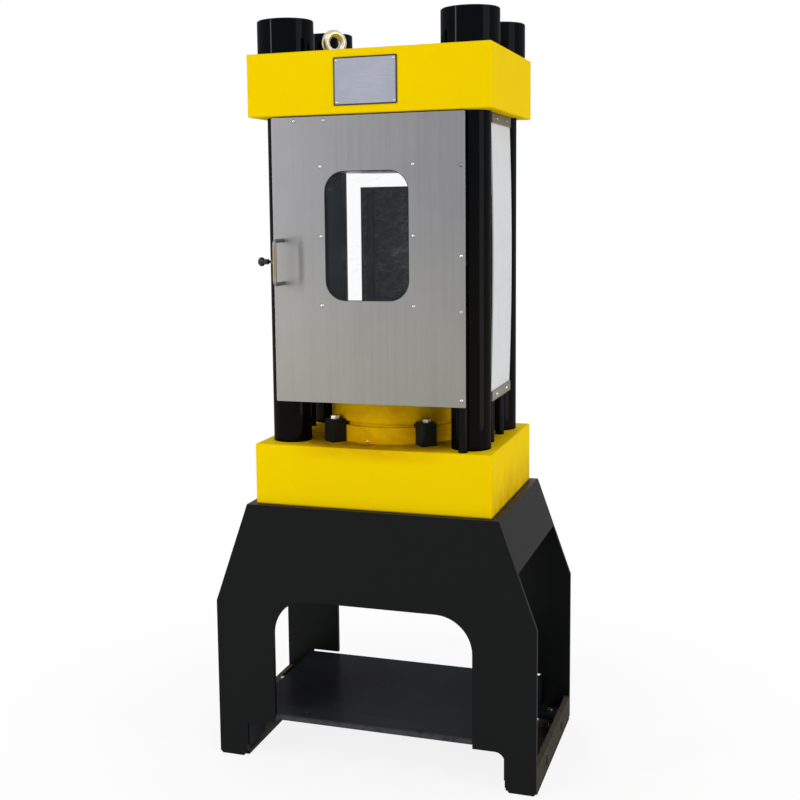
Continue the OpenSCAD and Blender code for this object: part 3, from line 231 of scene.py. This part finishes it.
def paint(name, colour, rough, coat, peel, grain, edge=0.0008, dust=0.10, dust_colour=SETTLED_DUST,
          wear=None, line=0.0016, line_tone=1.25, coat_rough=0.12):
    """Paint on steel.

    peel is the depth of its lumps and grain their number in a metre. edge rounds its corners. Within line of
    them the colour is multiplied by line_tone: a lighter rim that is partly rubbing wear and partly a painted
    edge highlight. dust is the share of dust_colour on faces that look up, and wear is a function that soils
    the colour, the roughness and the coat, and can paint shade into the colour too.
    """
    f = Finish(name)
    tone = f.patches(2.2, scaled(colour, 0.965), scaled(colour, 1.02))
    settled = f.times(f.facing_up(), f.spread(f.noise(38, 6.0, 0.65), 0.25, 0.7, 0.45, 1.0))
    tone = f.blend(f.times(settled, dust), tone, dust_colour)
    roughness = f.plus(f.uneven(14, rough * 0.85, rough * 1.2, 5.0), f.times(settled, dust * 0.9))
    if wear:
        tone, roughness, coat = wear(f, tone, roughness, coat)
    # A lighter rim along the edges: partly rubbing wear, partly a painted edge highlight.
    rubbed_and_highlit = f.times(f.edges(line), f.spread(f.noise(60, 4.0, 0.7), 0.4, 0.62, 0.3, 0.8))
    tone = f.blend(rubbed_and_highlit, tone, scaled(colour, line_tone))
    f.raise_by(f.noise(grain, 2.0, 0.4), peel)
    f.set(Base_Color=tone, Roughness=roughness, Specular_IOR_Level=0.0, Coat_Weight=coat,
          Coat_Roughness=coat_rough)
    return f.finish(edge)


def oil_and_painted_shade(f, tone, roughness, coat):
    """Oil and dust round the ram and low on the base's sides, with painted shade among them, tint the paint
    orange and brown.

    foot and rim are the heights of the cylinder's two ends. The oil is thickest between them and the axis,
    and its orange there also stands for painted shade on the cylinder. Round the cylinder's foot on the top
    face the brown is gathered oil and a painted contact shadow, and the darker band low on the sides is
    partly dirt and partly painted shade.
    """
    low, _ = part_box("base_block")
    foot, rim, above_rim = 0.735, 0.93, 0.98
    orange, brown, grime_and_shade_tone = rgb(206, 152, 6), rgb(112, 78, 8), rgb(184, 138, 14)
    x, y, z = f.xyz()
    radius = f.radius(x, y)
    near = f.times(f.spread(radius, 0.30, 0.17), f.spread(z, above_rim, rim), f.spread(z, 0.70, foot))
    smear = f.spread(f.noise(15.0, 6.0, 0.66, f.stretch(1, 1, 1.6), distortion=1.0), 0.25, 0.7, 0.45, 1.0)
    # Orange round the ram: oil, and painted shade on the cylinder.
    oil_and_shade = f.times(near, smear)
    tone = f.blend(oil_and_shade, tone, orange)
    # Brown round the cylinder's foot on the top face: gathered oil and a painted contact shadow.
    gathered_oil_and_contact_shadow = f.times(f.facing_up(), f.spread(radius, 0.262, 0.20), f.spread(z, 0.75, foot))
    tone = f.blend(f.times(gathered_oil_and_contact_shadow, f.times(smear, 0.75)), tone, brown)
    # A darker band low on the sides: grime and painted shade.
    on_sides = f.spread(f.calc("ABSOLUTE", f.facing("X")), 0.5, 0.8)
    runs = f.spread(f.noise(21.0, 6.0, 0.68, f.stretch(1, 1, 0.4)), 0.3, 0.7, 0.1, 0.75)
    grime_and_shade = f.times(on_sides, f.spread(z, low.z + 0.11, low.z + 0.004), runs)
    tone = f.blend(grime_and_shade, tone, grime_and_shade_tone)
    return tone, f.plus(roughness, f.times(oil_and_shade, -0.12)), coat


def floor_dust(f, tone, roughness, coat):
    """Cement dust swept against the outer faces of the floor rails, which dulls them."""
    _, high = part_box("stand_rail_right")
    thickness, floor_edge = 0.012, 0.010
    x, y, z = (f.calc("ABSOLUTE", value) for value in f.xyz())
    rail = f.times(f.spread(x, high.x - thickness - 0.006, high.x - thickness),
                   f.spread(y, high.y + 0.0004, high.y - 0.0004),
                   f.spread(z, high.z + 0.003, high.z + 0.001))
    mottle = f.spread(f.noise(75.0, 6.0, 0.72), 0.3, 0.66, 0.6, 1.0)
    # The dust thins in the last centimetre above the floor, so the rails' outer faces are darker along their
    # foot.
    swept = f.times(mottle, f.spread(z, 0.002, floor_edge, 0.15, 1.0))
    tone = f.blend(f.times(rail, f.times(swept, 0.62)), tone, rgb(92, 88, 78))
    sheen = f.calc("SUBTRACT", 1.0, f.times(rail, 0.85))
    return tone, f.plus(roughness, f.times(rail, 0.2)), f.times(sheen, coat)


def glossy_black(name):
    """Deep black gloss paint: thin dust, faint wipe marks and no visible grain, a painted reflection that is
    warm low down and cool higher up, and a painted highlight along its edges.
    """
    f = Finish(name)
    wipes = f.noise(30.0, 6.0, 0.66, f.stretch(1, 1, 0.35), distortion=1.2)
    # Painted reflection: warm brown low down, cool blue higher up.
    painted_warm_reflection_below, painted_cool_reflection_above = rgb(9, 7, 4), rgb(1, 3, 7)
    tone = f.blend(f.spread(f.axis(f.place, "Z"), 0.9, 1.5), painted_warm_reflection_below, painted_cool_reflection_above)
    tone = f.blend(f.spread(wipes, 0.4, 0.8, 0.0, 0.5), tone, rgb(11, 11, 12))
    tone = f.blend(f.times(f.facing_up(), 0.05), tone, rgb(150, 148, 140))
    # Painted highlight: a pale rim along the edges.
    tone = f.blend(f.times(f.edges(0.0022), 0.5), tone, rgb(54, 57, 62))
    f.raise_by(f.noise(5.0, 3.0), 0.0005)
    f.raise_by(f.noise(650, 2.0, 0.4), 0.000006)
    f.set(Base_Color=tone, Roughness=0.5, Specular_IOR_Level=0.0, Coat_Weight=0.10, Coat_Roughness=0.03)
    return f.finish(0.0006)


def dusty_sheet(name):
    """Dark painted sheet, marked by concrete dust that was wiped and thrown against its inner face."""
    f = Finish(name)
    base = f.patches(3.5, rgb(26, 28, 31), rgb(38, 41, 44))
    wiped = f.spread(f.noise(11.0, 7.0, 0.7, f.stretch(1, 1, 2.6), distortion=2.2), 0.52, 0.80)
    thrown = f.spread(f.noise(420, 3.0, 0.7), 0.66, 0.72)
    chalk = f.spread(f.noise(26.0, 7.0, 0.72, f.stretch(1, 1, 2.0), distortion=1.6), 0.40, 0.72)
    loops = f.calc("ABSOLUTE", f.calc("SUBTRACT", f.noise(7.5, 1.5, 0.5, distortion=1.4), 0.5))
    arcs = f.times(f.spread(loops, 0.016, 0.0), f.spread(f.noise(6.0, 2.0), 0.42, 0.6))
    dust = f.plus(f.times(wiped, 0.42), f.times(thrown, 0.22))
    dust = f.plus(dust, f.times(chalk, 0.30))
    dust = f.plus(dust, f.times(arcs, 0.20))
    dust = f.times(dust, f.spread(f.facing("Y"), 0.3, -0.3, 0.22, 1.0))
    tone = f.blend(dust, base, rgb(172, 172, 168))
    f.raise_by(f.noise(900, 2.0, 0.4), 0.00005)
    f.set(Base_Color=tone, Roughness=f.plus(0.34, f.times(dust, 0.9)), Specular_IOR_Level=0.15)
    return f.finish(0.0005)


# ---------------------------------------------------------------- metal finishes


def brushed(name, colour, rough, along, lines, cloud, painted_light_gradient, reflecting_bar=None):
    """Brushed metal.

    It is scratched along the axis whose factor in along is small, with lines as the scratches in a metre.
    cloud is how far its patches differ. gradient gives a low and a high place, and the colour at the low one;
    the change of tone between them is painted shade and painted reflection. Its edges are lighter, partly
    burnished and partly a painted highlight. A painted warm reflection of the yellow paint tints the middle
    of the bar of the node gripped.
    """
    f = Finish(name)
    grain = f.noise(lines, 3.0, 0.6, f.stretch(*along))
    broad = f.noise(lines * 0.11, 4.0, 0.6, f.stretch(*along))
    cloudy = f.spread(f.noise(7.0, 5.0, 0.6), 0.3, 0.72)
    low, high, bottom_colour = painted_light_gradient
    top_tone, bottom_tone = (f.blend(cloudy, scaled(c, 1 - cloud), scaled(c, 1 + cloud))
                             for c in (colour, bottom_colour))
    # Painted shade and reflection: the tone changes with height from top_tone to bottom_tone.
    tone = f.blend(f.spread(f.axis(f.place, "Z"), high, low), top_tone, bottom_tone)
    tone = f.blend(f.spread(grain, 0.3, 0.7, 0.0, 0.12), tone, scaled(colour, 0.72))
    # Lighter edges: partly burnished, partly a painted highlight.
    tone = f.blend(f.times(f.edges(0.0022), 0.6), tone, scaled(colour, 1.5))
    # A painted warm reflection of the yellow paint on the middle of the handle bar.
    if reflecting_bar:
        low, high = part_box(reflecting_bar)
        height = high.z - low.z
        from_middle = f.calc("ABSOLUTE", f.calc("SUBTRACT", f.axis(f.place, "Z"), (low.z + high.z) / 2))
        painted_reflection_on_bar = f.times(f.spread(f.axis(f.place, "Y"), low.y + 0.018, low.y + 0.012),
                       f.spread(from_middle, height * 0.42, height * 0.26))
        warm = f.patches(24.0, rgb(128, 112, 70), rgb(136, 118, 84), 0.35, 0.65)
        tone = f.blend(f.times(painted_reflection_on_bar, 0.75), tone, warm)
    roughness = f.plus(f.spread(broad, 0.3, 0.7, rough * 0.85, rough * 1.15),
                       f.spread(grain, 0.25, 0.75, -0.04, 0.05))
    f.raise_by(grain, 0.00002)
    f.set(Base_Color=tone, Metallic=1.0, Roughness=roughness)
    return f.finish(0.0004)


def turned(name, colour, rough):
    """Turned or ground metal: fine rings round the loading axis, with faint oil blotches."""
    f = Finish(name)
    x, y, z = f.xyz()
    section = f.add("CombineXYZ", {0: f.radius(x, y), 2: z}).outputs[0]
    ring = f.noise(900.0, 3.0, 0.6, section)
    oil = f.spread(f.noise(16.0, 6.0, 0.62), 0.42, 0.68)
    tone = f.blend(f.times(oil, 0.36), colour, scaled(colour, 0.72))
    tone = f.blend(f.spread(ring, 0.35, 0.7, 0.0, 0.2), tone, scaled(colour, 0.8))
    roughness = f.plus(f.spread(ring, 0.3, 0.7, rough * 0.8, rough * 1.2), f.times(oil, -0.08))
    f.raise_by(ring, 0.00002)
    f.set(Base_Color=tone, Metallic=1.0, Roughness=roughness)
    return f.finish(0.0003)


def zinc_plate(name, grey, straw, painted=False):
    """Zinc plate with the grey and straw patches of its passivation.

    Where painted, the heads on the shelf's cleats and on the rails' outer faces are under the stand's paint.
    """
    f = Finish(name)
    tone = f.blend(f.spread(f.noise(60.0, 4.0, 0.6), 0.35, 0.65), grey, straw)
    tone = f.blend(f.spread(f.noise(260, 4.0), 0.55, 0.7, 0.0, 0.4), tone, rgb(120, 116, 108))
    bare = 1.0
    if painted:
        x = f.calc("ABSOLUTE", f.axis(f.place, "X"))
        shelf = f.times(f.spread(x, 0.30, 0.29), f.spread(f.axis(f.place, "Z"), 0.25, 0.20))
        bare = f.calc("SUBTRACT", 1.0, f.calc("MAXIMUM", shelf, f.spread(x, 0.362, 0.366)))
        tone = f.blend(bare, rgb(46, 45, 41), tone)
    f.raise_by(f.noise(420, 3.0), 0.00005)
    f.set(Base_Color=tone, Metallic=bare, Roughness=f.uneven(90, 0.22, 0.42, 5.0), Specular_IOR_Level=0.0)
    return f.finish(0.0006)


def screw_steel(name):
    """Bright dome heads with painted shade round their rims; those on the side guards' upper strips carry the
    strips' painted shade and yellow reflection.
    """
    f = Finish(name)
    tone = f.patches(180, rgb(198, 198, 196), rgb(150, 148, 142), 0.4, 0.7)
    # Painted shade: a darker rim round each head.
    tone = f.blend(f.edges(0.0009), tone, rgb(92, 92, 90))
    x, _, z = f.xyz()
    # Painted shade and yellow reflection, as on the upper strips.
    shaded_like_strip = f.times(f.spread(f.calc("ABSOLUTE", x), 0.19, 0.20), f.spread(z, 1.30, 1.35))
    tone = f.blend(f.times(shaded_like_strip, 0.75), tone, rgb(110, 101, 78))
    f.set(Base_Color=tone, Metallic=1.0, Roughness=f.uneven(300, 0.14, 0.28, 3.0))
    return f.finish(0.0003)


def rolled_sheet(name):
    """Black hot-rolled sheet, a little blue, with painted shade that darkens it towards the right, a lighter
    band along the front, and grey along its left edge and its front lip that is partly rubbing wear and
    partly a painted highlight.
    """
    f = Finish(name)
    low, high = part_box("shelf_tray")
    x, y = f.axis(f.place, "X"), f.axis(f.place, "Y")
    tone = f.patches(3.0, rgb(29, 29, 33), rgb(35, 38, 45))
    tone = f.blend(f.spread(f.noise(40.0, 6.0, 0.7), 0.5, 0.75, 0.0, 0.35), tone, rgb(44, 44, 46))
    # A lighter, bluer band along the front.
    front_band = f.spread(y, low.y + 0.075, low.y + 0.055)
    tone = f.blend(f.times(front_band, 0.35), tone, rgb(44, 46, 52))
    # Painted shade: darker towards the right side.
    tone = f.blend(f.spread(x, 0.02, high.x, 0.0, 0.55), tone, rgb(16, 18, 22))
    # Grey along the left edge and the front lip: partly rubbing wear, partly a painted highlight.
    left_edge = f.spread(x, low.x + 0.030, low.x + 0.006)
    lip = f.spread(y, low.y + 0.014, low.y + 0.004)
    worn_and_highlit = f.times(f.calc("MAXIMUM", left_edge, lip), f.spread(f.noise(55.0, 5.0, 0.7), 0.3, 0.6, 0.3, 1.0))
    tone = f.blend(f.times(worn_and_highlit, 0.75), tone, rgb(76, 74, 76))
    scratch = f.spread(f.noise(160.0, 3.0, 0.6, f.stretch(0.08, 1, 1)), 0.68, 0.74, 0.0, 0.3)
    tone = f.blend(scratch, tone, rgb(64, 65, 68))
    f.raise_by(f.noise(2.0, 2.0), 0.0010)
    f.raise_by(f.noise(500, 3.0), 0.00003)
    f.set(Base_Color=tone, Roughness=f.uneven(9, 0.42, 0.6, 5.0), Specular_IOR_Level=0.0,
          Coat_Weight=0.06, Coat_Roughness=0.25)
    return f.finish(0.0008)


def name_plate_finish(name):
    """A blank silver plate with a dark printed border just inside its edge."""
    f = Finish(name)
    border_width = 0.003
    low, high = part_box("name_plate")
    middle, half = (low + high) / 2, (high - low) / 2
    x, _, z = f.xyz()
    from_side, from_end = (
        f.calc("SUBTRACT", reach, f.calc("ABSOLUTE", f.calc("SUBTRACT", value, centre)))
        for value, centre, reach in ((x, middle.x, half.x), (z, middle.z, half.z)))
    inset = f.calc("MINIMUM", from_side, from_end)
    border = f.spread(inset, border_width + 0.0002, border_width - 0.0002)
    grain = f.noise(1400, 3.0, 0.6, f.stretch(0.02, 1, 1))
    silver = f.blend(f.spread(grain, 0.3, 0.7), rgb(150, 153, 165), rgb(164, 168, 180))
    silver = f.blend(f.uneven(12, 0.0, 0.5), silver, rgb(140, 144, 158))
    tone = f.blend(border, silver, rgb(30, 30, 34))
    f.raise_by(grain, 0.00001)
    f.set(Base_Color=tone, Metallic=0.3, Roughness=f.spread(grain, 0.3, 0.7, 0.36, 0.46))
    return f.finish(0.0004)


# ---------------------------------------------------------------- plastic and rubber finishes


def rubber(name):
    """Black rubber, greyed in patches."""
    f = Finish(name)
    tone = f.patches(70, rgb(20, 20, 20), rgb(42, 41, 40), 0.35, 0.7, 5.0)
    f.raise_by(f.noise(1600, 3.0), 0.00006)
    f.set(Base_Color=tone, Roughness=f.uneven(45, 0.6, 0.8))
    return f.finish(0.0003)


def moulded(name, colour, rough, gloss=0.2):
    """Moulded black plastic."""
    f = Finish(name)
    f.raise_by(f.noise(1300, 2.0, 0.5), 0.00004)
    f.set(Base_Color=f.patches(40, scaled(colour, 0.92), scaled(colour, 1.06)),
          Roughness=f.uneven(25, rough * 0.85, rough * 1.2), Specular_IOR_Level=gloss)
    return f.finish(0.0006)


def pane(name):
    """Clear sheet, nearly all of which lets light through, with wiped dust on it."""
    f = Finish(name)
    wiped = f.noise(13.0, 6.0, 0.68, f.stretch(1, 1, 2.4), distortion=1.8)
    haze = f.spread(wiped, 0.50, 0.78)
    specks = f.spread(f.noise(800, 2.0), 0.71, 0.76)
    f.set(Base_Color=rgb(160, 170, 178), IOR=1.52, Specular_IOR_Level=0.32,
          Alpha=f.plus(f.spread(haze, 0.0, 1.0, 0.03, 0.09), f.times(specks, 0.10)),
          Roughness=f.spread(haze, 0.0, 1.0, 0.04, 0.35))
    return f.finish()


def pale_sheet(name):
    """Thin pale plastic sheet with faint scuffs and a slightly waxy face."""
    f = Finish(name)
    tone = f.patches(3.0, rgb(203, 204, 206), rgb(210, 211, 213))
    scuffs = f.spread(f.noise(260, 4.0, 0.6, f.stretch(1, 0.2, 0.06)), 0.60, 0.72, 0.0, 0.25)
    tone = f.blend(scuffs, tone, rgb(186, 187, 186))
    f.raise_by(f.noise(2.5, 2.0), 0.0012)
    f.raise_by(f.noise(700, 2.0), 0.00002)
    f.set(Base_Color=tone, Roughness=f.uneven(20, 0.42, 0.55), Specular_IOR_Level=0.2)
    return f.finish(0.0004)


# ---------------------------------------------------------------- slots

ALONG_Y, ALONG_Z = (1, 0.012, 1), (1, 1, 0.012)

finishes = {
    "yellow_paint": paint(
        "yellow_paint", rgb(237, 202, 0), rough=0.38, coat=0.03, peel=0.000012, grain=320, edge=0.0024,
        dust=0.03, dust_colour=rgb(200, 180, 110), wear=oil_and_painted_shade, line=0.003, line_tone=1.12),
    "stand_black": paint(
        "stand_black", rgb(15, 16, 16), rough=0.5, coat=0.20, peel=0.00005, grain=1100, edge=0.0009,
        dust=0.26, dust_colour=rgb(128, 118, 102), wear=floor_dust, line_tone=2.6, coat_rough=0.3),
    "black_steel": paint(
        "black_steel", rgb(9, 9, 10), rough=0.4, coat=0.16, peel=0.000012, grain=900, edge=0.0005, dust=0.06),
    "clamp_steel": paint(
        "clamp_steel", rgb(30, 31, 26), rough=0.5, coat=0.14, peel=0.00008, grain=700, edge=0.001,
        dust=0.25, dust_colour=rgb(120, 110, 80), line=0.0024, line_tone=2.2),
    "gloss_black": glossy_black("gloss_black"),
    "dark_sheet": dusty_sheet("dark_sheet"),
    "shelf_steel": rolled_sheet("shelf_steel"),
    # The door is darker with painted shade towards the top and warmer with a painted reflection low down.
    "stainless": brushed(
        "stainless", rgb(131, 131, 134), rough=0.40, along=ALONG_Z, lines=1500, cloud=0.03,
        painted_light_gradient=(0.85, 1.35, rgb(144, 143, 136)), reflecting_bar="door_handle"),
    # The strips' brown tone high up is painted shade and a painted reflection of the yellow paint; low down
    # they are grey.
    "strip_steel": brushed(
        "strip_steel", rgb(98, 88, 66), rough=0.50, along=ALONG_Y, lines=1100, cloud=0.14,
        painted_light_gradient=(0.9, 1.3, rgb(128, 123, 112))),
    "ground_steel": turned("ground_steel", rgb(176, 178, 180), 0.26),
    "hardened_steel": turned("hardened_steel", rgb(92, 93, 97), 0.40),
    "bronze": turned("bronze", rgb(190, 148, 84), 0.32),
    "zinc": zinc_plate("zinc", rgb(206, 206, 202), rgb(206, 194, 150)),
    "bolt_steel": zinc_plate("bolt_steel", rgb(172, 172, 166), rgb(158, 150, 124), painted=True),
    "screw_steel": screw_steel("screw_steel"),
    "plate_silver": name_plate_finish("plate_silver"),
    "rubber_black": rubber("rubber_black"),
    "knob_black": moulded("knob_black", rgb(8, 8, 9), 0.14, gloss=0.5),
    "switch_black": moulded("switch_black", rgb(14, 14, 15), 0.42),
    "clear_pane": pane("clear_pane"),
    "pale_sheet": pale_sheet("pale_sheet"),
}


def dress_nodes():
    """Gives every CAD node the finish of its slot."""
    for part in frame["record"]["subparts"]:
        mesh = nodes[part["node"]].data
        mesh.materials.clear()
        mesh.materials.append(finishes[part["material_slot"]])


# ---------------------------------------------------------------- pieces


def piece(name, builder, body, slot):
    """Turns a bmesh into a smooth piece of the object that rides on a body."""
    bmesh.ops.recalc_face_normals(builder, faces=builder.faces)
    mesh = bpy.data.meshes.new(name)
    builder.to_mesh(mesh)
    builder.free()
    for polygon in mesh.polygons:
        polygon.use_smooth = True
    mesh.materials.append(finishes[slot])
    item = bpy.data.objects.new(name, mesh)
    bpy.context.scene.collection.objects.link(item)
    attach(item, body)


def sweep(builder, points, radii, sides=8):
    """A round rod through points, into an open bmesh, with a radius at each point."""
    rings = []
    side = (points[1] - points[0]).normalized().orthogonal()
    for i, point in enumerate(points):
        before, after = points[max(i - 1, 0)], points[min(i + 1, len(points) - 1)]
        tangent = (after - before).normalized()
        side = (side - tangent * side.dot(tangent)).normalized()
        other = tangent.cross(side)
        rings.append([builder.verts.new(point + (side * math.cos(a) + other * math.sin(a)) * radii[i])
                      for a in (2 * math.pi * k / sides for k in range(sides))])
    for a, b in zip(rings, rings[1:]):
        for k in range(sides):
            builder.faces.new((a[k], a[(k + 1) % sides], b[(k + 1) % sides], b[k]))
    builder.faces.new(tuple(reversed(rings[0])))
    builder.faces.new(tuple(rings[-1]))


def weld_beads():
    """Fillet welds inside the stand, where its plates meet."""
    size, ripple, tip = 0.0042, 0.0035, 0.55
    half_length = 0.268
    slope_thickness, rail_thickness = 0.0106, 0.012
    above_floor, above_foot, below_corner = 0.012, 0.004, 0.002
    builder = bmesh.new()

    def bead(start, end):
        count = max(6, int((end - start).length / ripple))
        points = [start.lerp(end, i / count) for i in range(count + 1)]
        radii = [size * (1 + 0.12 * math.sin(i * 2.1) + random.uniform(-0.06, 0.06))
                 for i in range(count + 1)]
        radii[0] = radii[-1] = size * tip
        sweep(builder, points, radii)

    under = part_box("stand_top_plate")[0].z
    front_face, rear_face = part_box("stand_front_plate")[1].y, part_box("stand_rear_plate")[0].y
    for y in (front_face, rear_face):
        bead(Vector((-half_length, y, under)), Vector((half_length, y, under)))
        for name, side in (("stand_slope_plate_left", -1), ("stand_slope_plate_right", 1)):
            low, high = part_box(name)
            foot_x, head_x = (low.x, high.x) if side < 0 else (high.x, low.x)
            bead(Vector((foot_x - slope_thickness * side, y, low.z + above_foot)),
                 Vector((head_x, y, high.z - below_corner)))
        for name, side in (("stand_rail_left", -1), ("stand_rail_right", 1)):
            low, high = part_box(name)
            inner = low.x + rail_thickness if side < 0 else high.x - rail_thickness
            bead(Vector((inner, y, above_floor)), Vector((inner, y, high.z - below_corner)))
    piece("stand_welds", builder, "frame", "stand_black")


def window_trim():
    """Thin black rubber edging round the door's window opening."""
    lap, corner, steps = 0.021, 0.045, 12
    shoulder, nose, proud = 0.0011, 0.0016, 0.00005
    panel_low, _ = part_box("door_panel")
    pane_low, pane_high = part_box("door_window")
    centre = (pane_low + pane_high) / 2
    reach = (pane_high - pane_low) / 2 - Vector((lap + corner, 0, lap + corner))
    front, back = panel_low.y + 0.0001, panel_low.y + 0.0019
    section = ((0.0, front), (-shoulder, front - proud), (-nose, (front + back) / 2), (-shoulder, back),
               (0.0, back))
    builder = bmesh.new()
    rings = []
    for side_x, side_z, start in ((1, 1, 0), (-1, 1, 90), (-1, -1, 180), (1, -1, 270)):
        middle_x, middle_z = centre.x + side_x * reach.x, centre.z + side_z * reach.z
        for i in range(steps + 1):
            a = math.radians(start + 90 * i / steps)
            rings.append([builder.verts.new((middle_x + (corner + off) * math.cos(a), y,
                                             middle_z + (corner + off) * math.sin(a))) for off, y in section])
    for ring, after in zip(rings, rings[1:] + rings[:1]):
        for k in range(len(ring)):
            builder.faces.new((ring[k], ring[(k + 1) % len(ring)], after[(k + 1) % len(ring)], after[k]))
    piece("window_trim", builder, "door", "rubber_black")


# ---------------------------------------------------------------- studio

WHITE = (1, 1, 1, 1)


def make_floor():
    """A pale floor that keeps the shadow near the object and is white further out."""
    near, far, near_share = 0.35, 1.5, 0.86
    width, below_feet = 40, 0.0005
    bpy.ops.mesh.primitive_plane_add(size=width, location=(0, 0, -below_feet))
    floor = bpy.context.object
    floor.name = "floor"
    material = bpy.data.materials.new("floor")
    material.use_nodes = True
    tree = Nodes(material.node_tree)
    shaded = tree.add("BsdfDiffuse", {"Color": (0.86, 0.86, 0.86, 1)}).outputs[0]
    white = tree.add("Emission", {"Color": WHITE}).outputs[0]
    path = tree.add("LightPath").outputs
    seen = tree.calc("MAXIMUM", path["Is Camera Ray"], path["Is Glossy Ray"])
    place = tree.add("TexCoord").outputs["Object"]
    away = tree.add("VectorMath", {0: place}, operation="LENGTH").outputs["Value"]
    share = tree.times(seen, tree.spread(away, near, far, near_share, 1.0))
    mix = tree.add("MixShader", {0: share, 1: shaded, 2: white}).outputs[0]
    tree.add("OutputMaterial", {"Surface": mix})
    floor.data.materials.append(material)


def make_world():
    """White where the camera, gloss or glass sees it, and plain soft light elsewhere."""
    world = bpy.data.worlds.new("studio")
    bpy.context.scene.world = world
    world.use_nodes = True
    tree = Nodes(world.node_tree)
    soft = tree.add("Background", {"Strength": 0.62, "Color": (1.0, 0.995, 0.985, 1)}).outputs[0]
    white = tree.add("Background", {"Color": WHITE}).outputs[0]
    path = tree.add("LightPath").outputs
    seen = tree.calc("MAXIMUM", path["Is Camera Ray"], path["Is Glossy Ray"])
    seen = tree.calc("MAXIMUM", seen, path["Is Transmission Ray"])
    mix = tree.add("MixShader", {0: seen, 1: soft, 2: white}).outputs[0]
    tree.add("OutputWorld", {"Surface": mix})


def lamp(name, place, target, width, height, watts):
    """A white rectangular lamp at a place, which looks at its target."""
    light = bpy.data.lights.new(name, "AREA")
    light.shape = "RECTANGLE"
    light.size, light.size_y = width, height
    light.energy = watts
    item = bpy.data.objects.new(name, light)
    item.location = place
    item.rotation_euler = (Vector(target) - Vector(place)).to_track_quat("-Z", "Y").to_euler()
    bpy.context.scene.collection.objects.link(item)


def make_lights():
    lamp("key", place=(-2.55, -3.0, 1.6), target=(0.1, -0.1, 1.1), width=0.32, height=2.5, watts=46)
    lamp("fill", place=(3.6, -0.9, 1.8), target=(0, 0, 1.2), width=1.8, height=3.4, watts=46)
    lamp("front", place=(0.6, -3.3, 4.3), target=(0, 0, 0.9), width=2.6, height=2.2, watts=28)
    lamp("back", place=(-0.6, 3.4, 3.0), target=(0, 0, 0.9), width=2.4, height=2.0, watts=24)


make_camera()
make_world()
make_floor()
make_lights()
dress_nodes()
weld_beads()
window_trim()

bpy.context.scene.view_settings.view_transform = "Standard"
